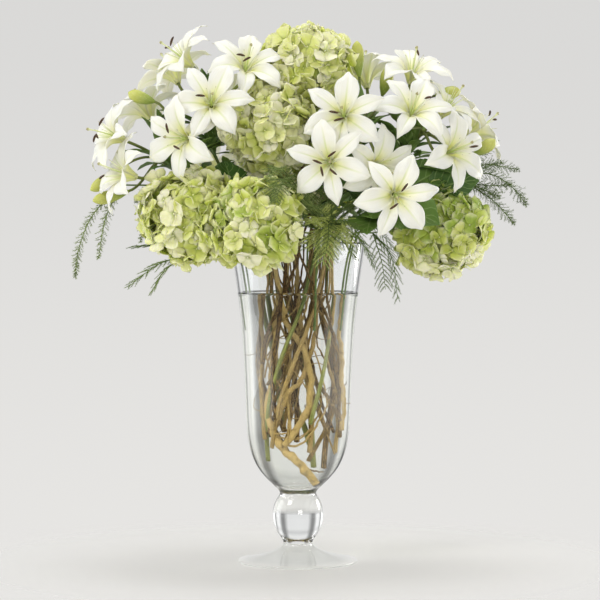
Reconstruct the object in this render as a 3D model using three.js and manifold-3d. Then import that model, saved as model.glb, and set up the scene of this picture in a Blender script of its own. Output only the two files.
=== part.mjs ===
// White lilies, green hydrangeas and asparagus fern in a tall footed glass vase full of water.
// Millimetres, +Z up. The origin is the middle of the foot's underside, and -Y is the front.
// Stems are placed first, then blooms, leaves, heads and ferns. What would cross a neighbour
// leans clear of it or, where a head or a frond has many alike, is left out.

import * as THREE from 'three';
import { mergeVertices } from 'three/addons/utils/BufferGeometryUtils.js';
import Module from 'manifold-3d';

const wasm = await Module();
wasm.setup();

// ---------------------------------------------------------------- driving dimensions

const GAP = 0.4;
const CORE_GAP = 0.1;
const TURNED_SIDES = 24;

const FOOT_RADIUS = 90;
const KNOP_RADIUS = 38;
const RIM_RADIUS = 101;
const RIM_WALL = 3.5;
const VASE_HEIGHT = 480;
const BOWL_FLOOR = 119;
const WATER_LEVEL = 404;

const TEPAL_REACH = 63;
const TEPAL_HALF_WIDTH = 16;
const OUTER_TEPAL_SHARE = 0.84;
const TEPAL_THICKNESS = 1.4;
const TEPAL_COUNT = 6;
const STAMEN_COUNT = 3;
// Degrees that a tepal leans back from its usual arch, and shares of its width, as they are tried
const LEANS = [6, 0, 12, -6, 18, -11, 24, 30, -16, 36, 42, 48, 54, 60];
const TEPAL_SHARES = [1, 0.8];
const TEPAL_RING = { inner: 2.4, outer: 4.8, halfHeight: 3 };
const STAMEN_LENGTH = 46;
const STAMEN_SPREAD = 15;
const PISTIL_LENGTH = 58;
const STIGMA_RADIUS = 2.4;
const ANTHER_RADIUS = 1.7;
const RECEPTACLE_RADIUS = 1.5;
const SOCKET_GAP = 0.6;

const LILY_STEM_RADIUS = 3.6;
const PEDICEL_RADIUS = 2;
const WOODY_STEM_RADIUS = 4;
const BUD_RADIUS = 8;
const STEM_TAPER = 0.7;
const STALK_START = 0.98;
const STEM_STEPS = 8;
const SMOOTHING = 0.1;

const FLORETS = 21;
const FLORET_RADIUS = 27;
const FLORET_DEPTH = 30;
const CORE_SHARE = 0.8;
const HEAD_FLATTENING = 0.88;

// Half widths run from the root to the tip; a toothed edge steps in and out
const LILY_LEAF = { length: 78, halfWidths: [2, 7, 10, 7, 0], thickness: 1.2 };
const HYDRANGEA_LEAF = { length: 108, halfWidths: [2.4, 20, 30, 40, 35, 41, 28, 26, 0], thickness: 1.4 };

const FERN_STALK_RADIUS = 1.5;
const FROND_HALF_WIDTH = 24;
const FROND_SHARES = [1, 0.8, 0.6, 0.4, 0.25];
const SPRIG_SPACING = 17;

// Turned profiles as [radius, height], bottom to top outside and top to bottom inside
const VASE_OUTSIDE = [
  [0, 0], [FOOT_RADIUS, 0], [FOOT_RADIUS, 3], [50, 11], [24, 25], [20, 34], [34, 53],
  [KNOP_RADIUS, 71], [34, 89], [27, 104], [50, 129], [67, 154], [77, 190], [80, 265],
  [86, 365], [93, 422], [RIM_RADIUS, VASE_HEIGHT],
];
const VASE_INSIDE = [
  [RIM_RADIUS - RIM_WALL, VASE_HEIGHT], [89, 421], [81.5, 365], [75.5, 265], [71.5, 191],
  [61, 158], [43, 134], [0, BOWL_FLOOR],
];

// Way round the vase in degrees from +X towards +Y, distance from its axis, height
const STEM_HEIGHTS = { foot: 118, belly: 270, waterline: 405, mouth: 478 };
const OUTER_RING = { foot: [-85, 30], belly: [-50, 46], waterline: [-15, 42], mouth: [0, 52] };
const INNER_RING = { foot: [80, 10], belly: [45, 17], waterline: [12, 13], mouth: [0, 14] };

const LILY_STEMS = [
  { name: 'lily_stem_left_high', mouthTurn: 150,
    route: [[-85, 25, 540], [-125, 15, 610], [-140, 8, 660]] },
  { name: 'lily_stem_left_low', mouthTurn: 178,
    route: [[-105, -5, 530], [-165, -18, 572], [-200, -22, 600]] },
  { name: 'lily_stem_front', mouthTurn: 305,
    route: [[50, -62, 530], [76, -66, 580], [88, -48, 640]] },
  { name: 'lily_stem_right', mouthTurn: 15,
    route: [[105, 15, 540], [155, 0, 595], [182, -10, 640]] },
  { name: 'lily_stem_back', mouthTurn: 120,
    route: [[-45, 95, 560], [-52, 112, 630]] },
];

// base: where the tepals join; axis: the way the bloom faces; roll: degrees clockwise from the front
const BLOOMS = [
  { name: 'bloom_left_1', stem: 0, base: [-158, -30, 742], axis: [-0.7, -0.3, 0.6], roll: 0 },
  { name: 'bloom_left_2', stem: 0, base: [-79, -66, 727], axis: [0.2, -0.7, 0.6], roll: 15 },
  { name: 'bloom_left_3', stem: 0, base: [-125, -115, 677], axis: [0, -0.95, 0.3], roll: 25 },
  { name: 'bloom_left_4', stem: 1, base: [-158, -120, 630], axis: [-0.5, -0.85, 0], roll: 0 },
  { name: 'bloom_left_5', stem: 1, base: [-257, -50, 631], axis: [-0.85, -0.35, 0.35], roll: 30 },
  { name: 'bloom_left_6', stem: 1, base: [-222, 40, 665], axis: [-0.5, 0.35, 0.8], roll: 10 },
  { name: 'bloom_left_7', stem: 1, base: [-238, -85, 576], axis: [-0.8, -0.3, 0.25], roll: 0 },
  { name: 'bloom_left_8', stem: 0, base: [-182, 35, 722], axis: [-0.4, 0.5, 0.8], roll: 20 },
  { name: 'bloom_right_1', stem: 2, base: [66, -150, 660], axis: [-0.05, -1, 0.1], roll: 8 },
  { name: 'bloom_right_2', stem: 2, base: [46, -165, 594], axis: [-0.1, -1, 0], roll: -12 },
  { name: 'bloom_right_3', stem: 2, base: [137, -160, 549], axis: [0.15, -1, -0.1], roll: 20 },
  { name: 'bloom_right_4', stem: 2, base: [106, -110, 594], axis: [0.45, -0.8, -0.2], roll: 0 },
  { name: 'bloom_right_5', stem: 3, base: [167, -20, 719], axis: [0.15, -0.45, 0.85], roll: 0 },
  { name: 'bloom_right_6', stem: 3, base: [163, -100, 661], axis: [0.2, -0.75, 0.6], roll: 30 },
  { name: 'bloom_right_7', stem: 3, base: [215, -85, 610], axis: [0.6, -0.75, 0.2], roll: 10 },
  { name: 'bloom_right_8', stem: 3, base: [212, -20, 668], axis: [0.6, -0.3, 0.75], roll: 20 },
  { name: 'bloom_right_9', stem: 3, base: [255, 20, 640], axis: [0.8, 0.1, 0.5], roll: 0 },
  { name: 'bloom_right_10', stem: 2, base: [104, 30, 715], axis: [-0.1, 0.35, 0.9], roll: 0 },
  { name: 'bloom_back_1', stem: 4, base: [-98, 150, 680], axis: [-0.4, 0.75, 0.5], roll: 0 },
  { name: 'bloom_back_2', stem: 4, base: [0, 168, 665], axis: [0.2, 0.95, 0.3], roll: 25 },
  { name: 'bloom_back_3', stem: 4, base: [-120, 150, 590], axis: [-0.6, 0.8, 0], roll: 0 },
];

const BUDS = [
  { stem: 2, base: [92, 4, 728], tip: [88, 0, 782] },
  { stem: 2, base: [126, -5, 700], tip: [134, -24, 742] },
  { stem: 3, base: [206, 8, 700], tip: [244, 2, 706] },
  { stem: 3, base: [262, -20, 612], tip: [292, -44, 632] },
  { stem: 1, base: [-214, -8, 690], tip: [-254, -8, 704] },
  { stem: 1, base: [-268, -20, 588], tip: [-309, -30, 557] },
  { stem: 1, base: [-252, -30, 556], tip: [-303, -58, 541] },
  { stem: 0, base: [-98, -104, 668], tip: [-106, -152, 658] },
];

const HEADS = [
  { name: 'hydrangea_top', centre: [12, -14, 742], radius: 66, mouthTurn: 90, ring: INNER_RING,
    route: [[6, 12, 560], [9, 2, 640], [10, -14, 706]] },
  { name: 'hydrangea_middle', centre: [-42, -60, 649], radius: 66, mouthTurn: 250, ring: INNER_RING,
    route: [[-12, -25, 540], [-26, -42, 590], [-40, -58, 625]] },
  { name: 'hydrangea_left', centre: [-152, -95, 521], radius: 73, mouthTurn: 215, ring: OUTER_RING,
    route: [[-78, -55, 508], [-110, -72, 520], [-132, -84, 522]] },
  { name: 'hydrangea_front', centre: [-60, -158, 506], radius: 70, mouthTurn: 250, ring: OUTER_RING,
    route: [[-28, -84, 510], [-42, -118, 522], [-52, -140, 518]] },
  { name: 'hydrangea_right', centre: [213, -30, 496], radius: 67, mouthTurn: 335, ring: OUTER_RING,
    route: [[80, -34, 512], [140, -38, 520], [190, -32, 506]] },
  { name: 'hydrangea_back', centre: [30, 130, 590], radius: 70, mouthTurn: 70, ring: OUTER_RING,
    route: [[26, 78, 530], [28, 110, 560], [30, 125, 575]] },
];

const FERNS = [
  { name: 'fern_left_long', stalk: [[-67, 20, 350], [-79, 24, 440], [-88, 27, 476], [-96, 29, 493],
    [-140, 24, 530], [-200, 8, 562], [-262, -6, 566]], fronds: [
    [[-262, -6, 566], [-305, -20, 522], [-326, -30, 470], [-331, -34, 428]],
    [[-262, -6, 566], [-284, -36, 520], [-296, -44, 456]],
    [[-200, 8, 562], [-226, 30, 530], [-240, 50, 480]],
  ] },
  { name: 'fern_left_low', stalk: [[-69, -12, 350], [-82, -14, 440], [-91, -16, 476], [-99, -17, 492],
    [-125, -20, 478], [-160, -28, 462]], fronds: [
    [[-160, -28, 462], [-205, -52, 448], [-250, -76, 414]],
    [[-160, -28, 462], [-205, -14, 476], [-248, -30, 474]],
  ] },
  { name: 'fern_front', stalk: [[23, -66, 350], [27, -79, 440], [30, -87, 476], [33, -95, 493],
    [44, -112, 512]], fronds: [
    [[44, -112, 512], [74, -134, 508], [98, -142, 468]],
    [[44, -112, 512], [30, -136, 528], [4, -150, 540]],
    [[44, -112, 512], [44, -142, 488], [36, -152, 446]],
  ] },
  { name: 'fern_right_low', stalk: [[58, -38, 350], [69, -45, 440], [77, -50, 476], [84, -55, 493],
    [110, -70, 494]], fronds: [
    [[110, -70, 494], [136, -84, 460], [146, -90, 397]],
    [[110, -70, 494], [124, -50, 450], [130, -40, 410]],
  ] },
  { name: 'fern_right_long', stalk: [[66, 26, 350], [77, 31, 440], [85, 35, 476], [92, 38, 493],
    [130, 48, 530], [190, 52, 562], [240, 48, 578]], fronds: [
    [[240, 48, 578], [290, 30, 583], [325, 8, 560], [341, -10, 536]],
    [[240, 48, 578], [285, 62, 598], [336, 52, 590]],
    [[240, 48, 578], [290, 4, 545], [322, -26, 508]],
  ] },
  { name: 'fern_back', stalk: [[12, 70, 350], [14, 82, 440], [15, 91, 476], [17, 99, 493],
    [60, 132, 512]], fronds: [
    [[60, 132, 512], [110, 165, 510], [160, 172, 460]],
    [[60, 132, 512], [110, 130, 560], [150, 120, 600]],
    [[60, 132, 512], [60, 190, 500], [60, 220, 450]],
  ] },
];

// stem: which lily stem; at: way along its route; turn: degrees round it; rise: how steeply it lifts
const LILY_LEAVES = [
  { stem: 0, at: 0.72, turn: 150, rise: 0.5 }, { stem: 0, at: 0.86, turn: 60, rise: 0.6 },
  { stem: 1, at: 0.74, turn: 200, rise: -0.2 }, { stem: 1, at: 0.86, turn: 90, rise: 0.3 },
  { stem: 2, at: 0.76, turn: 290, rise: 0.1 }, { stem: 2, at: 0.86, turn: 350, rise: 0.4 },
  { stem: 3, at: 0.74, turn: 300, rise: 0.1 }, { stem: 3, at: 0.84, turn: 20, rise: 0.2 },
  { stem: 3, at: 0.92, turn: 320, rise: 0.1 }, { stem: 4, at: 0.76, turn: 100, rise: 0.2 },
  { stem: 4, at: 0.9, turn: 30, rise: 0.5 }, { stem: 4, at: 0.86, turn: 170, rise: 0.1 },
];
const HYDRANGEA_LEAVES = [
  { head: 2, at: 0.68, turn: 180, rise: -0.2 }, { head: 3, at: 0.68, turn: 200, rise: 0.2 },
  { head: 4, at: 0.84, turn: 30, rise: 0.3 }, { head: 4, at: 0.76, turn: 290, rise: -0.1 },
  { head: 5, at: 0.68, turn: 10, rise: 0.1 }, { head: 5, at: 0.66, turn: 150, rise: 0.1 },
];

const FINISH = {
  glass: { color: 0xdfe7e6, roughness: 0.03, metalness: 0 },
  water: { color: 0xd5dcd6, roughness: 0.02, metalness: 0 },
  petal: { color: 0xf1f0e8, roughness: 0.55, metalness: 0 },
  lilyGreen: { color: 0x869c3f, roughness: 0.6, metalness: 0 },
  floret: { color: 0xb4c878, roughness: 0.7, metalness: 0 },
  wood: { color: 0x7a6240, roughness: 0.8, metalness: 0 },
  fern: { color: 0x4f7d3c, roughness: 0.7, metalness: 0 },
};

// ---------------------------------------------------------------- solids

const degrees = THREE.MathUtils.degToRad;
const { lerp } = THREE.MathUtils;
const UP = new THREE.Vector3(0, 0, 1);
const vector = (point) => new THREE.Vector3(...point);
const from = (start, ...moves) => moves.reduce(
  (point, [way, distance]) => point.addScaledVector(way, distance), start.clone());

// Mulberry32, so that every build draws the same numbers
function seeded(seed) {
  let state = seed;
  return () => {
    state = (state + 0x6d2b79f5) | 0;
    let mixed = Math.imul(state ^ (state >>> 15), 1 | state);
    mixed = (mixed + Math.imul(mixed ^ (mixed >>> 7), 61 | mixed)) ^ mixed;
    return ((mixed ^ (mixed >>> 14)) >>> 0) / 4294967296;
  };
}

// A closed solid from a geometry, without the triangles that a pinched end has collapsed
function solidOf(geometry) {
  geometry.deleteAttribute('normal');
  geometry.deleteAttribute('uv');
  const merged = mergeVertices(geometry, 1e-4);
  const corners = Array.from(merged.index.array);
  const kept = [];
  for (let i = 0; i < corners.length; i += 3) {
    const face = corners.slice(i, i + 3);
    if (new Set(face).size === 3) kept.push(...face);
  }
  return new wasm.Manifold(new wasm.Mesh({
    numProp: 3,
    vertProperties: new Float32Array(merged.attributes.position.array),
    triVerts: new Uint32Array(kept),
  }));
}

function meshOf(name, solid, finish) {
  const { vertProperties, triVerts } = solid.getMesh();
  const geometry = new THREE.BufferGeometry();
  geometry.setAttribute('position', new THREE.BufferAttribute(new Float32Array(vertProperties), 3));
  geometry.setIndex(new THREE.BufferAttribute(new Uint32Array(triVerts), 1));
  geometry.computeVertexNormals();
  const mesh = new THREE.Mesh(geometry, new THREE.MeshStandardMaterial(finish));
  mesh.name = name;
  return mesh;
}

function largestBody(solid) {
  return solid.decompose().reduce((most, body) => (body.volume() > most.volume() ? body : most));
}

const smoothed = (solid) => largestBody(solid).asOriginal().simplify(SMOOTHING);
const fused = (solids) => smoothed(solids.reduce((all, solid) => all.add(solid)));
const cutBy = (solid, guards) => guards.reduce((left, guard) => left.subtract(guard), solid);

function boxesNear(a, b, gap) {
  const [one, other] = [a.boundingBox(), b.boundingBox()];
  return [0, 1, 2].every((k) => one.min[k] - gap < other.max[k] && other.min[k] - gap < one.max[k]);
}

function isClear(solid, others, gap = GAP) {
  return others.every((other) => !boxesNear(solid, other, gap) || solid.minGap(other, gap) >= gap);
}

// The first of several ways to make a piece that clears what is placed
function firstClear(what, placed, ways, make) {
  for (const way of ways) {
    const solid = make(way);
    if (isClear(solid, placed)) return solid;
  }
  throw new Error(`${what} finds no clear place`);
}

// A turned solid about the Z axis
function turned(profile) {
  const outline = profile.map(([radius, height]) => new THREE.Vector2(radius, height));
  return solidOf(new THREE.LatheGeometry(outline, TURNED_SIDES).rotateX(Math.PI / 2));
}

// A rod or blade through its points. At each point it reaches widths to both sides and
// thicknesses across; with three corners one face is flat and the opposite edge is its keel
function bent(points, widths, thicknesses, corners, side) {
  const steps = points.length - 1;
  const curve = new THREE.CatmullRomCurve3(points);
  const geometry = new THREE.CylinderGeometry(1, 1, 1, corners, steps);
  const position = geometry.attributes.position;
  for (let i = 0; i < position.count; i++) {
    const stop = Math.round((position.getY(i) + 0.5) * steps);
    const ahead = curve.getTangent(stop / steps);
    const over = new THREE.Vector3().crossVectors(side, ahead).normalize();
    const wide = new THREE.Vector3().crossVectors(ahead, over);
    const point = from(points[stop],
      [wide, position.getX(i) * widths[stop]], [over, position.getZ(i) * thicknesses[stop]]);
    position.setXYZ(i, ...point);
  }
  return solidOf(geometry);
}

// The axis of the frame that a run of points keeps furthest from
function acrossOf(points) {
  const run = points[points.length - 1].clone().sub(points[0]);
  const size = run.toArray().map(Math.abs);
  return new THREE.Vector3().setComponent(size.indexOf(Math.min(...size)), 1);
}

const rod = (points, radii, corners) => bent(points, radii, radii, corners, acrossOf(points));
const taper = (points, first, last) => points.map((_, k) => lerp(first, last, k / (points.length - 1)));
const widened = (radii) => radii.map((radius) => radius + SOCKET_GAP);

// ---------------------------------------------------------------- vase and water

const insideAtClearance = VASE_INSIDE.map(([radius, height]) => [Math.max(0, radius - GAP), height + GAP]);

// The glass of the bowl with its clearance, which no cut stem end enters, and all that is below it
function makeGlassGuard() {
  const outward = RIM_RADIUS * 1.2;
  return turned([[0, 0], [outward, 0], [outward, VASE_HEIGHT], ...insideAtClearance]);
}

function makeWater(guards) {
  const wet = insideAtClearance.filter(([, height]) => height < WATER_LEVEL);
  const [[highRadius, high], [lowRadius, low]] = VASE_INSIDE.slice(1, 3);
  const levelRadius = lerp(lowRadius, highRadius, (WATER_LEVEL - low) / (high - low)) - GAP;
  const bulk = turned([...wet.reverse(), [levelRadius, WATER_LEVEL], [0, WATER_LEVEL]]);
  return smoothed(cutBy(bulk, guards));
}

// ---------------------------------------------------------------- stems

// From the bowl's floor to the mouth, winding one way in the outer ring and back in the inner one
function insidePoints(ring, mouthTurn) {
  return Object.entries(STEM_HEIGHTS).map(([level, height]) => {
    const [turn, distance] = ring[level];
    const angle = degrees(mouthTurn + turn);
    return vector([Math.cos(angle) * distance, Math.sin(angle) * distance, height]);
  });
}

function makeStem({ name, mouthTurn, route }, ring, radius, finish) {
  const curve = new THREE.CatmullRomCurve3([...insidePoints(ring, mouthTurn), ...route.map(vector)]);
  const points = curve.getPoints(STEM_STEPS);
  const radii = taper(points, radius, radius * STEM_TAPER);
  const solid = cutBy(rod(points, radii, 5), [glassGuard]);
  const socket = [...points.slice(0, -1), from(points.at(-1), [curve.getTangent(1), SOCKET_GAP])];
  return { name, curve, finish, solids: [solid], guards: [rod(socket, widened(radii), 5)] };
}

// Right and upper, as seen by someone whom the flower faces
function facing(axis) {
  const forward = vector(axis).normalize();
  const right = new THREE.Vector3().crossVectors(UP, forward).normalize();
  const upper = new THREE.Vector3().crossVectors(forward, right);
  return { forward, right, upper };
}

const outward = ({ right, upper }, turn) => from(new THREE.Vector3(),
  [upper, Math.cos(degrees(turn))], [right, Math.sin(degrees(turn))]);

// The way from near a stem's top to where a flower or bud starts, in three bends
function stalkPoints({ curve }, base, forward) {
  const start = curve.getPoint(STALK_START);
  const span = start.distanceTo(base);
  const leaving = from(start, [curve.getTangent(1), span * 0.4]);
  return new THREE.CubicBezierCurve3(start, leaving, from(base, [forward, -span * 0.45]), base).getPoints(3);
}

// Stalk, receptacle and pistil in one rod, with the stamens round it
function addCentre(stem, { base: place, axis }) {
  const [base, frame] = [vector(place), facing(axis)];
  const ahead = (distance) => from(base, [frame.forward, distance]);
  const stalk = stalkPoints(stem, ahead(-2 * TEPAL_RING.halfHeight), frame.forward);
  const stalkRadii = taper(stalk, PEDICEL_RADIUS, RECEPTACLE_RADIUS);
  const pistil = [5, 9, PISTIL_LENGTH - 4, PISTIL_LENGTH - 2, PISTIL_LENGTH].map(ahead);
  stem.guards.push(rod(stalk, widened(stalkRadii), 3));
  const pistilRadii = [RECEPTACLE_RADIUS, 0.9, 1, STIGMA_RADIUS, 0];
  stem.solids.push(rod([...stalk, ...pistil], [...stalkRadii, ...pistilRadii], 3));
  for (let k = 0; k < STAMEN_COUNT; k++) {
    const away = outward(frame, (360 * k) / STAMEN_COUNT + 30);
    const anther = from(ahead(STAMEN_LENGTH), [away, STAMEN_SPREAD]);
    stem.solids.push(rod([from(ahead(2), [away, 0.8]), anther], [0.5, ANTHER_RADIUS], 3));
  }
}

function addBud(stem, bud) {
  const [base, tip] = [vector(bud.base), vector(bud.tip)];
  const stalk = stalkPoints(stem, base, tip.clone().sub(base).normalize());
  const swelling = [0.3, 0.7, 1].map((share) => base.clone().lerp(tip, share));
  const radii = [...taper(stalk, PEDICEL_RADIUS, PEDICEL_RADIUS), BUD_RADIUS, BUD_RADIUS * 0.85, 0];
  stem.solids.push(rod([...stalk, ...swelling], radii, 4));
  stem.guards.push(rod(stalk, widened(taper(stalk, PEDICEL_RADIUS, PEDICEL_RADIUS)), 4));
}

// ---------------------------------------------------------------- blooms

// One tepal, steep in the throat and then arching outwards. lean turns its blade back at the throat
function makeTepal(base, frame, turn, lean, half) {
  const away = outward(frame, turn);
  const [hinge, depth] = [TEPAL_REACH * 0.2, 19];
  const blade = [[0.53, 32], [0.84, 31], [1, 23]].map(([part, rise]) => {
    const [out, up] = [TEPAL_REACH * part - hinge, rise - depth];
    const turnedOut = out * Math.cos(lean) + up * Math.sin(lean);
    const turnedUp = up * Math.cos(lean) - out * Math.sin(lean);
    return [hinge + turnedOut, depth + turnedUp];
  });
  const points = [[3.2, -1.3], [hinge, depth], ...blade].map(
    ([out, up]) => from(base, [away, out], [frame.forward, up]));
  const thicknesses = [0.6, 1, 1, 0.9, 0].map((share) => share * TEPAL_THICKNESS);
  const side = new THREE.Vector3().crossVectors(frame.forward, away);
  return bent(points, [1.8, 5.6, half, half * 0.75, 0], thicknesses, 3, side);
}

// The ring in which the tepals are grown together, open for the flower's stalk
function makeTepalRing(base, frame, roll) {
  const { inner, outer, halfHeight } = TEPAL_RING;
  const section = [[inner, -halfHeight], [outer, -halfHeight], [outer, halfHeight], [inner, halfHeight]];
  const outline = [...section, section[0]].map(([radius, height]) => new THREE.Vector2(radius, height));
  const ring = new THREE.LatheGeometry(outline, TEPAL_COUNT, degrees(roll + 30));
  const basis = new THREE.Matrix4().makeBasis(frame.right, frame.forward, frame.upper.clone().negate());
  return solidOf(ring.applyMatrix4(basis.setPosition(base)));
}

// Tepals in two whorls. Each leans back, or closes a little, until it clears its neighbours
function makeBloom({ name, base: place, axis, roll }, placed) {
  const [base, frame] = [vector(place), facing(axis)];
  const ring = makeTepalRing(base, frame, roll);
  if (!isClear(ring, placed, CORE_GAP)) throw new Error(`the ring of ${name} is in the way`);
  const ways = TEPAL_SHARES.flatMap((share) => LEANS.map((lean) => [degrees(lean), share]));
  const tepals = Array.from({ length: TEPAL_COUNT }, (_, k) => {
    const half = TEPAL_HALF_WIDTH * (k % 2 ? OUTER_TEPAL_SHARE : 1);
    return firstClear(`tepal ${k} of ${name}`, placed, ways,
      ([lean, share]) => makeTepal(base, frame, roll + (360 * k) / TEPAL_COUNT, lean, half * share));
  });
  return fused([ring, ...tepals]);
}

// ---------------------------------------------------------------- leaves

function makeLeaf(root, turn, rise, { length, halfWidths, thickness }) {
  const level = vector([Math.cos(degrees(turn)), Math.sin(degrees(turn)), 0]);
  const last = halfWidths.length - 1;
  const points = halfWidths.map((_, k) => {
    const way = k / last;
    const arch = 0.3 * way - 0.4 * way * way;
    return from(root, [level, length * way * Math.cos(rise)], [UP, length * (way * Math.sin(rise) + arch)]);
  });
  const thicknesses = halfWidths.map((_, k) => (k < last ? thickness : 0));
  return bent(points, halfWidths, thicknesses, 3, new THREE.Vector3(level.y, -level.x, 0));
}

// The leaf is turned round its stem, and lifted or lowered, until it clears what is placed
function clearLeaf({ name, curve }, { at, turn, rise }, size, placed) {
  const lifts = [0, 0.25, -0.25, 0.5, -0.5];
  const swings = [0, 15, -15, 30, -30, 45, -45, 60, -60, 80, -80];
  const ways = lifts.flatMap((lift) => swings.map((swing) => [turn + swing, rise + lift]));
  return firstClear(`leaf on ${name}`, placed, ways,
    ([newTurn, newRise]) => makeLeaf(curve.getPoint(at), newTurn, newRise, size));
}

// ---------------------------------------------------------------- hydrangea heads

const headSquash = new THREE.Vector3(1, 1, HEAD_FLATTENING);

function makeCore({ centre, radius }) {
  const core = new THREE.IcosahedronGeometry(radius * CORE_SHARE, 0);
  return solidOf(core.scale(...headSquash).translate(...centre));
}

// Four sepals round a dipped middle, on a stalk that narrows to its root: tips on the even
// columns, notches on the odd ones
function makeFloret(place, way, scale, turn) {
  const profile = [[0, -FLORET_DEPTH], [FLORET_RADIUS * scale, 0], [0, -4]];
  const geometry = new THREE.LatheGeometry(profile.map(([x, y]) => new THREE.Vector2(x, y)), 8, turn);
  const position = geometry.attributes.position;
  for (let i = 0; i < position.count; i++) {
    const column = Math.floor(i / profile.length);
    const share = column % 2 ? 0.55 : 1;
    position.setXYZ(i, position.getX(i) * share, position.getY(i), position.getZ(i) * share);
  }
  geometry.applyQuaternion(new THREE.Quaternion().setFromUnitVectors(new THREE.Vector3(0, 1, 0), way));
  return solidOf(geometry.translate(...place));
}

// Florets are spread over the core by the golden angle; those that would cross are left out
function addFlorets(core, { centre, radius }, seed, placed) {
  const random = seeded(seed);
  const goldenAngle = Math.PI * (3 - Math.sqrt(5));
  let head = core;
  for (let k = 0; k < FLORETS; k++) {
    const height = 1 - (2 * (k + 0.5)) / FLORETS;
    const level = Math.sqrt(1 - height * height);
    const way = vector([Math.cos(k * goldenAngle) * level, Math.sin(k * goldenAngle) * level, height]);
    const place = from(vector(centre), [way.clone().multiply(headSquash), radius * (0.95 + 0.08 * random())]);
    const floret = makeFloret(place, way, 0.94 + 0.12 * random(), random() * Math.PI);
    if (isClear(floret, placed)) head = head.add(floret);
  }
  return smoothed(head);
}

// ---------------------------------------------------------------- fern

// A frond is one arched blade whose edge steps in and out, a pair of sprigs at a time
function makeFrond(route, half) {
  const curve = new THREE.CatmullRomCurve3(route.map(vector));
  const pairs = Math.round(curve.getLength() / SPRIG_SPACING);
  const [stops, widths] = [[], []];
  for (let k = 0; k < pairs; k++) {
    const way = k / pairs;
    stops.push(way, way + 0.6 / pairs);
    widths.push(FERN_STALK_RADIUS, half * (0.5 + 0.7 * Math.sin(Math.PI * (0.15 + 0.8 * way))));
  }
  const points = [...stops, 1].map((stop) => curve.getPointAt(stop));
  const side = acrossOf([points[0], points.at(-1)]);
  return bent(points, [...widths, 0], taper(points, FERN_STALK_RADIUS, 0), 3, side);
}

// The stalk with its fronds, each made narrower until it clears what is placed
function makeFern({ name, stalk, fronds }, placed) {
  const points = stalk.map(vector);
  const stem = rod(points, points.map(() => FERN_STALK_RADIUS), 3);
  if (!isClear(stem, placed)) throw new Error(`the stalk of ${name} is in the way`);
  return fused([stem, ...fronds.map((route) => firstClear(
    `frond of ${name}`, placed, FROND_SHARES, (share) => makeFrond(route, FROND_HALF_WIDTH * share)))]);
}

// The room that the stalk's wet end needs in the water
function fernGuard({ stalk }) {
  const [low, high] = stalk.slice(0, 2).map(vector);
  const ends = [from(low, [UP, -SOCKET_GAP]), high];
  return rod(ends, ends.map(() => FERN_STALK_RADIUS + 2 * SOCKET_GAP), 3);
}

// ---------------------------------------------------------------- assembly

const vase = turned([...VASE_OUTSIDE, ...VASE_INSIDE]);
const glassGuard = makeGlassGuard();

const lilyStems = LILY_STEMS.map((stem) => makeStem(stem, OUTER_RING, LILY_STEM_RADIUS, FINISH.lilyGreen));
const woodyStems = HEADS.map(({ name, ring, ...stem }) => makeStem(
  { name: `${name}_stem`, ...stem }, ring, WOODY_STEM_RADIUS, FINISH.wood));
const stems = [...lilyStems, ...woodyStems];
BLOOMS.forEach((bloom) => addCentre(lilyStems[bloom.stem], bloom));
BUDS.forEach((bud) => addBud(lilyStems[bud.stem], bud));
for (const stem of stems) stem.body = fused(stem.solids);

const placed = [vase, ...stems.map((stem) => stem.body)];
const guards = stems.flatMap((stem) => stem.guards);
const blooms = [];
for (const bloom of BLOOMS) {
  blooms.push(makeBloom(bloom, [...placed, ...blooms]));
}

const cores = HEADS.map((head) => largestBody(cutBy(makeCore(head), guards)));
const leafSets = [
  ...LILY_LEAVES.map((leaf) => ({ leaf, stem: lilyStems[leaf.stem], size: LILY_LEAF })),
  ...HYDRANGEA_LEAVES.map((leaf) => ({ leaf, stem: woodyStems[leaf.head], size: HYDRANGEA_LEAF })),
];
for (const { leaf, stem, size } of leafSets) {
  const others = [vase, ...stems.filter((one) => one !== stem).map((one) => one.body), ...blooms, ...cores];
  stem.body = fused([stem.body, clearLeaf(stem, leaf, size, others)]);
}

const heads = [];
HEADS.forEach((head, k) => {
  const others = [vase, ...stems.map((stem) => stem.body), ...blooms, ...heads, ...cores.slice(k + 1)];
  if (!isClear(cores[k], others, CORE_GAP)) throw new Error(`the core of ${head.name} is in the way`);
  heads.push(addFlorets(cores[k], head, 11 + k, others));
});

const ferns = [];
for (const fern of FERNS) {
  ferns.push(makeFern(fern, [vase, ...stems.map((stem) => stem.body), ...blooms, ...heads, ...ferns]));
}

const arrangement = new THREE.Group();
arrangement.add(meshOf('vase', vase, FINISH.glass));
arrangement.add(meshOf('water', makeWater([...guards, ...FERNS.map(fernGuard)]), FINISH.water));
stems.forEach((stem) => arrangement.add(meshOf(stem.name, stem.body, stem.finish)));
BLOOMS.forEach(({ name }, k) => arrangement.add(meshOf(name, blooms[k], FINISH.petal)));
HEADS.forEach(({ name }, k) => arrangement.add(meshOf(name, heads[k], FINISH.floret)));
FERNS.forEach(({ name }, k) => arrangement.add(meshOf(name, ferns[k], FINISH.fern)));

export default arrangement;
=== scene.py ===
# White lilies, green hydrangeas and asparagus fern in a tall footed glass vase full of water.
# Pieces are laid out in millimetres. The stage, the lamps and the camera are in metres.
# +Z is up and -Y is the front.
import math

import bpy
import numpy as np
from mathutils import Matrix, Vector
from mathutils.kdtree import KDTree


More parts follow.
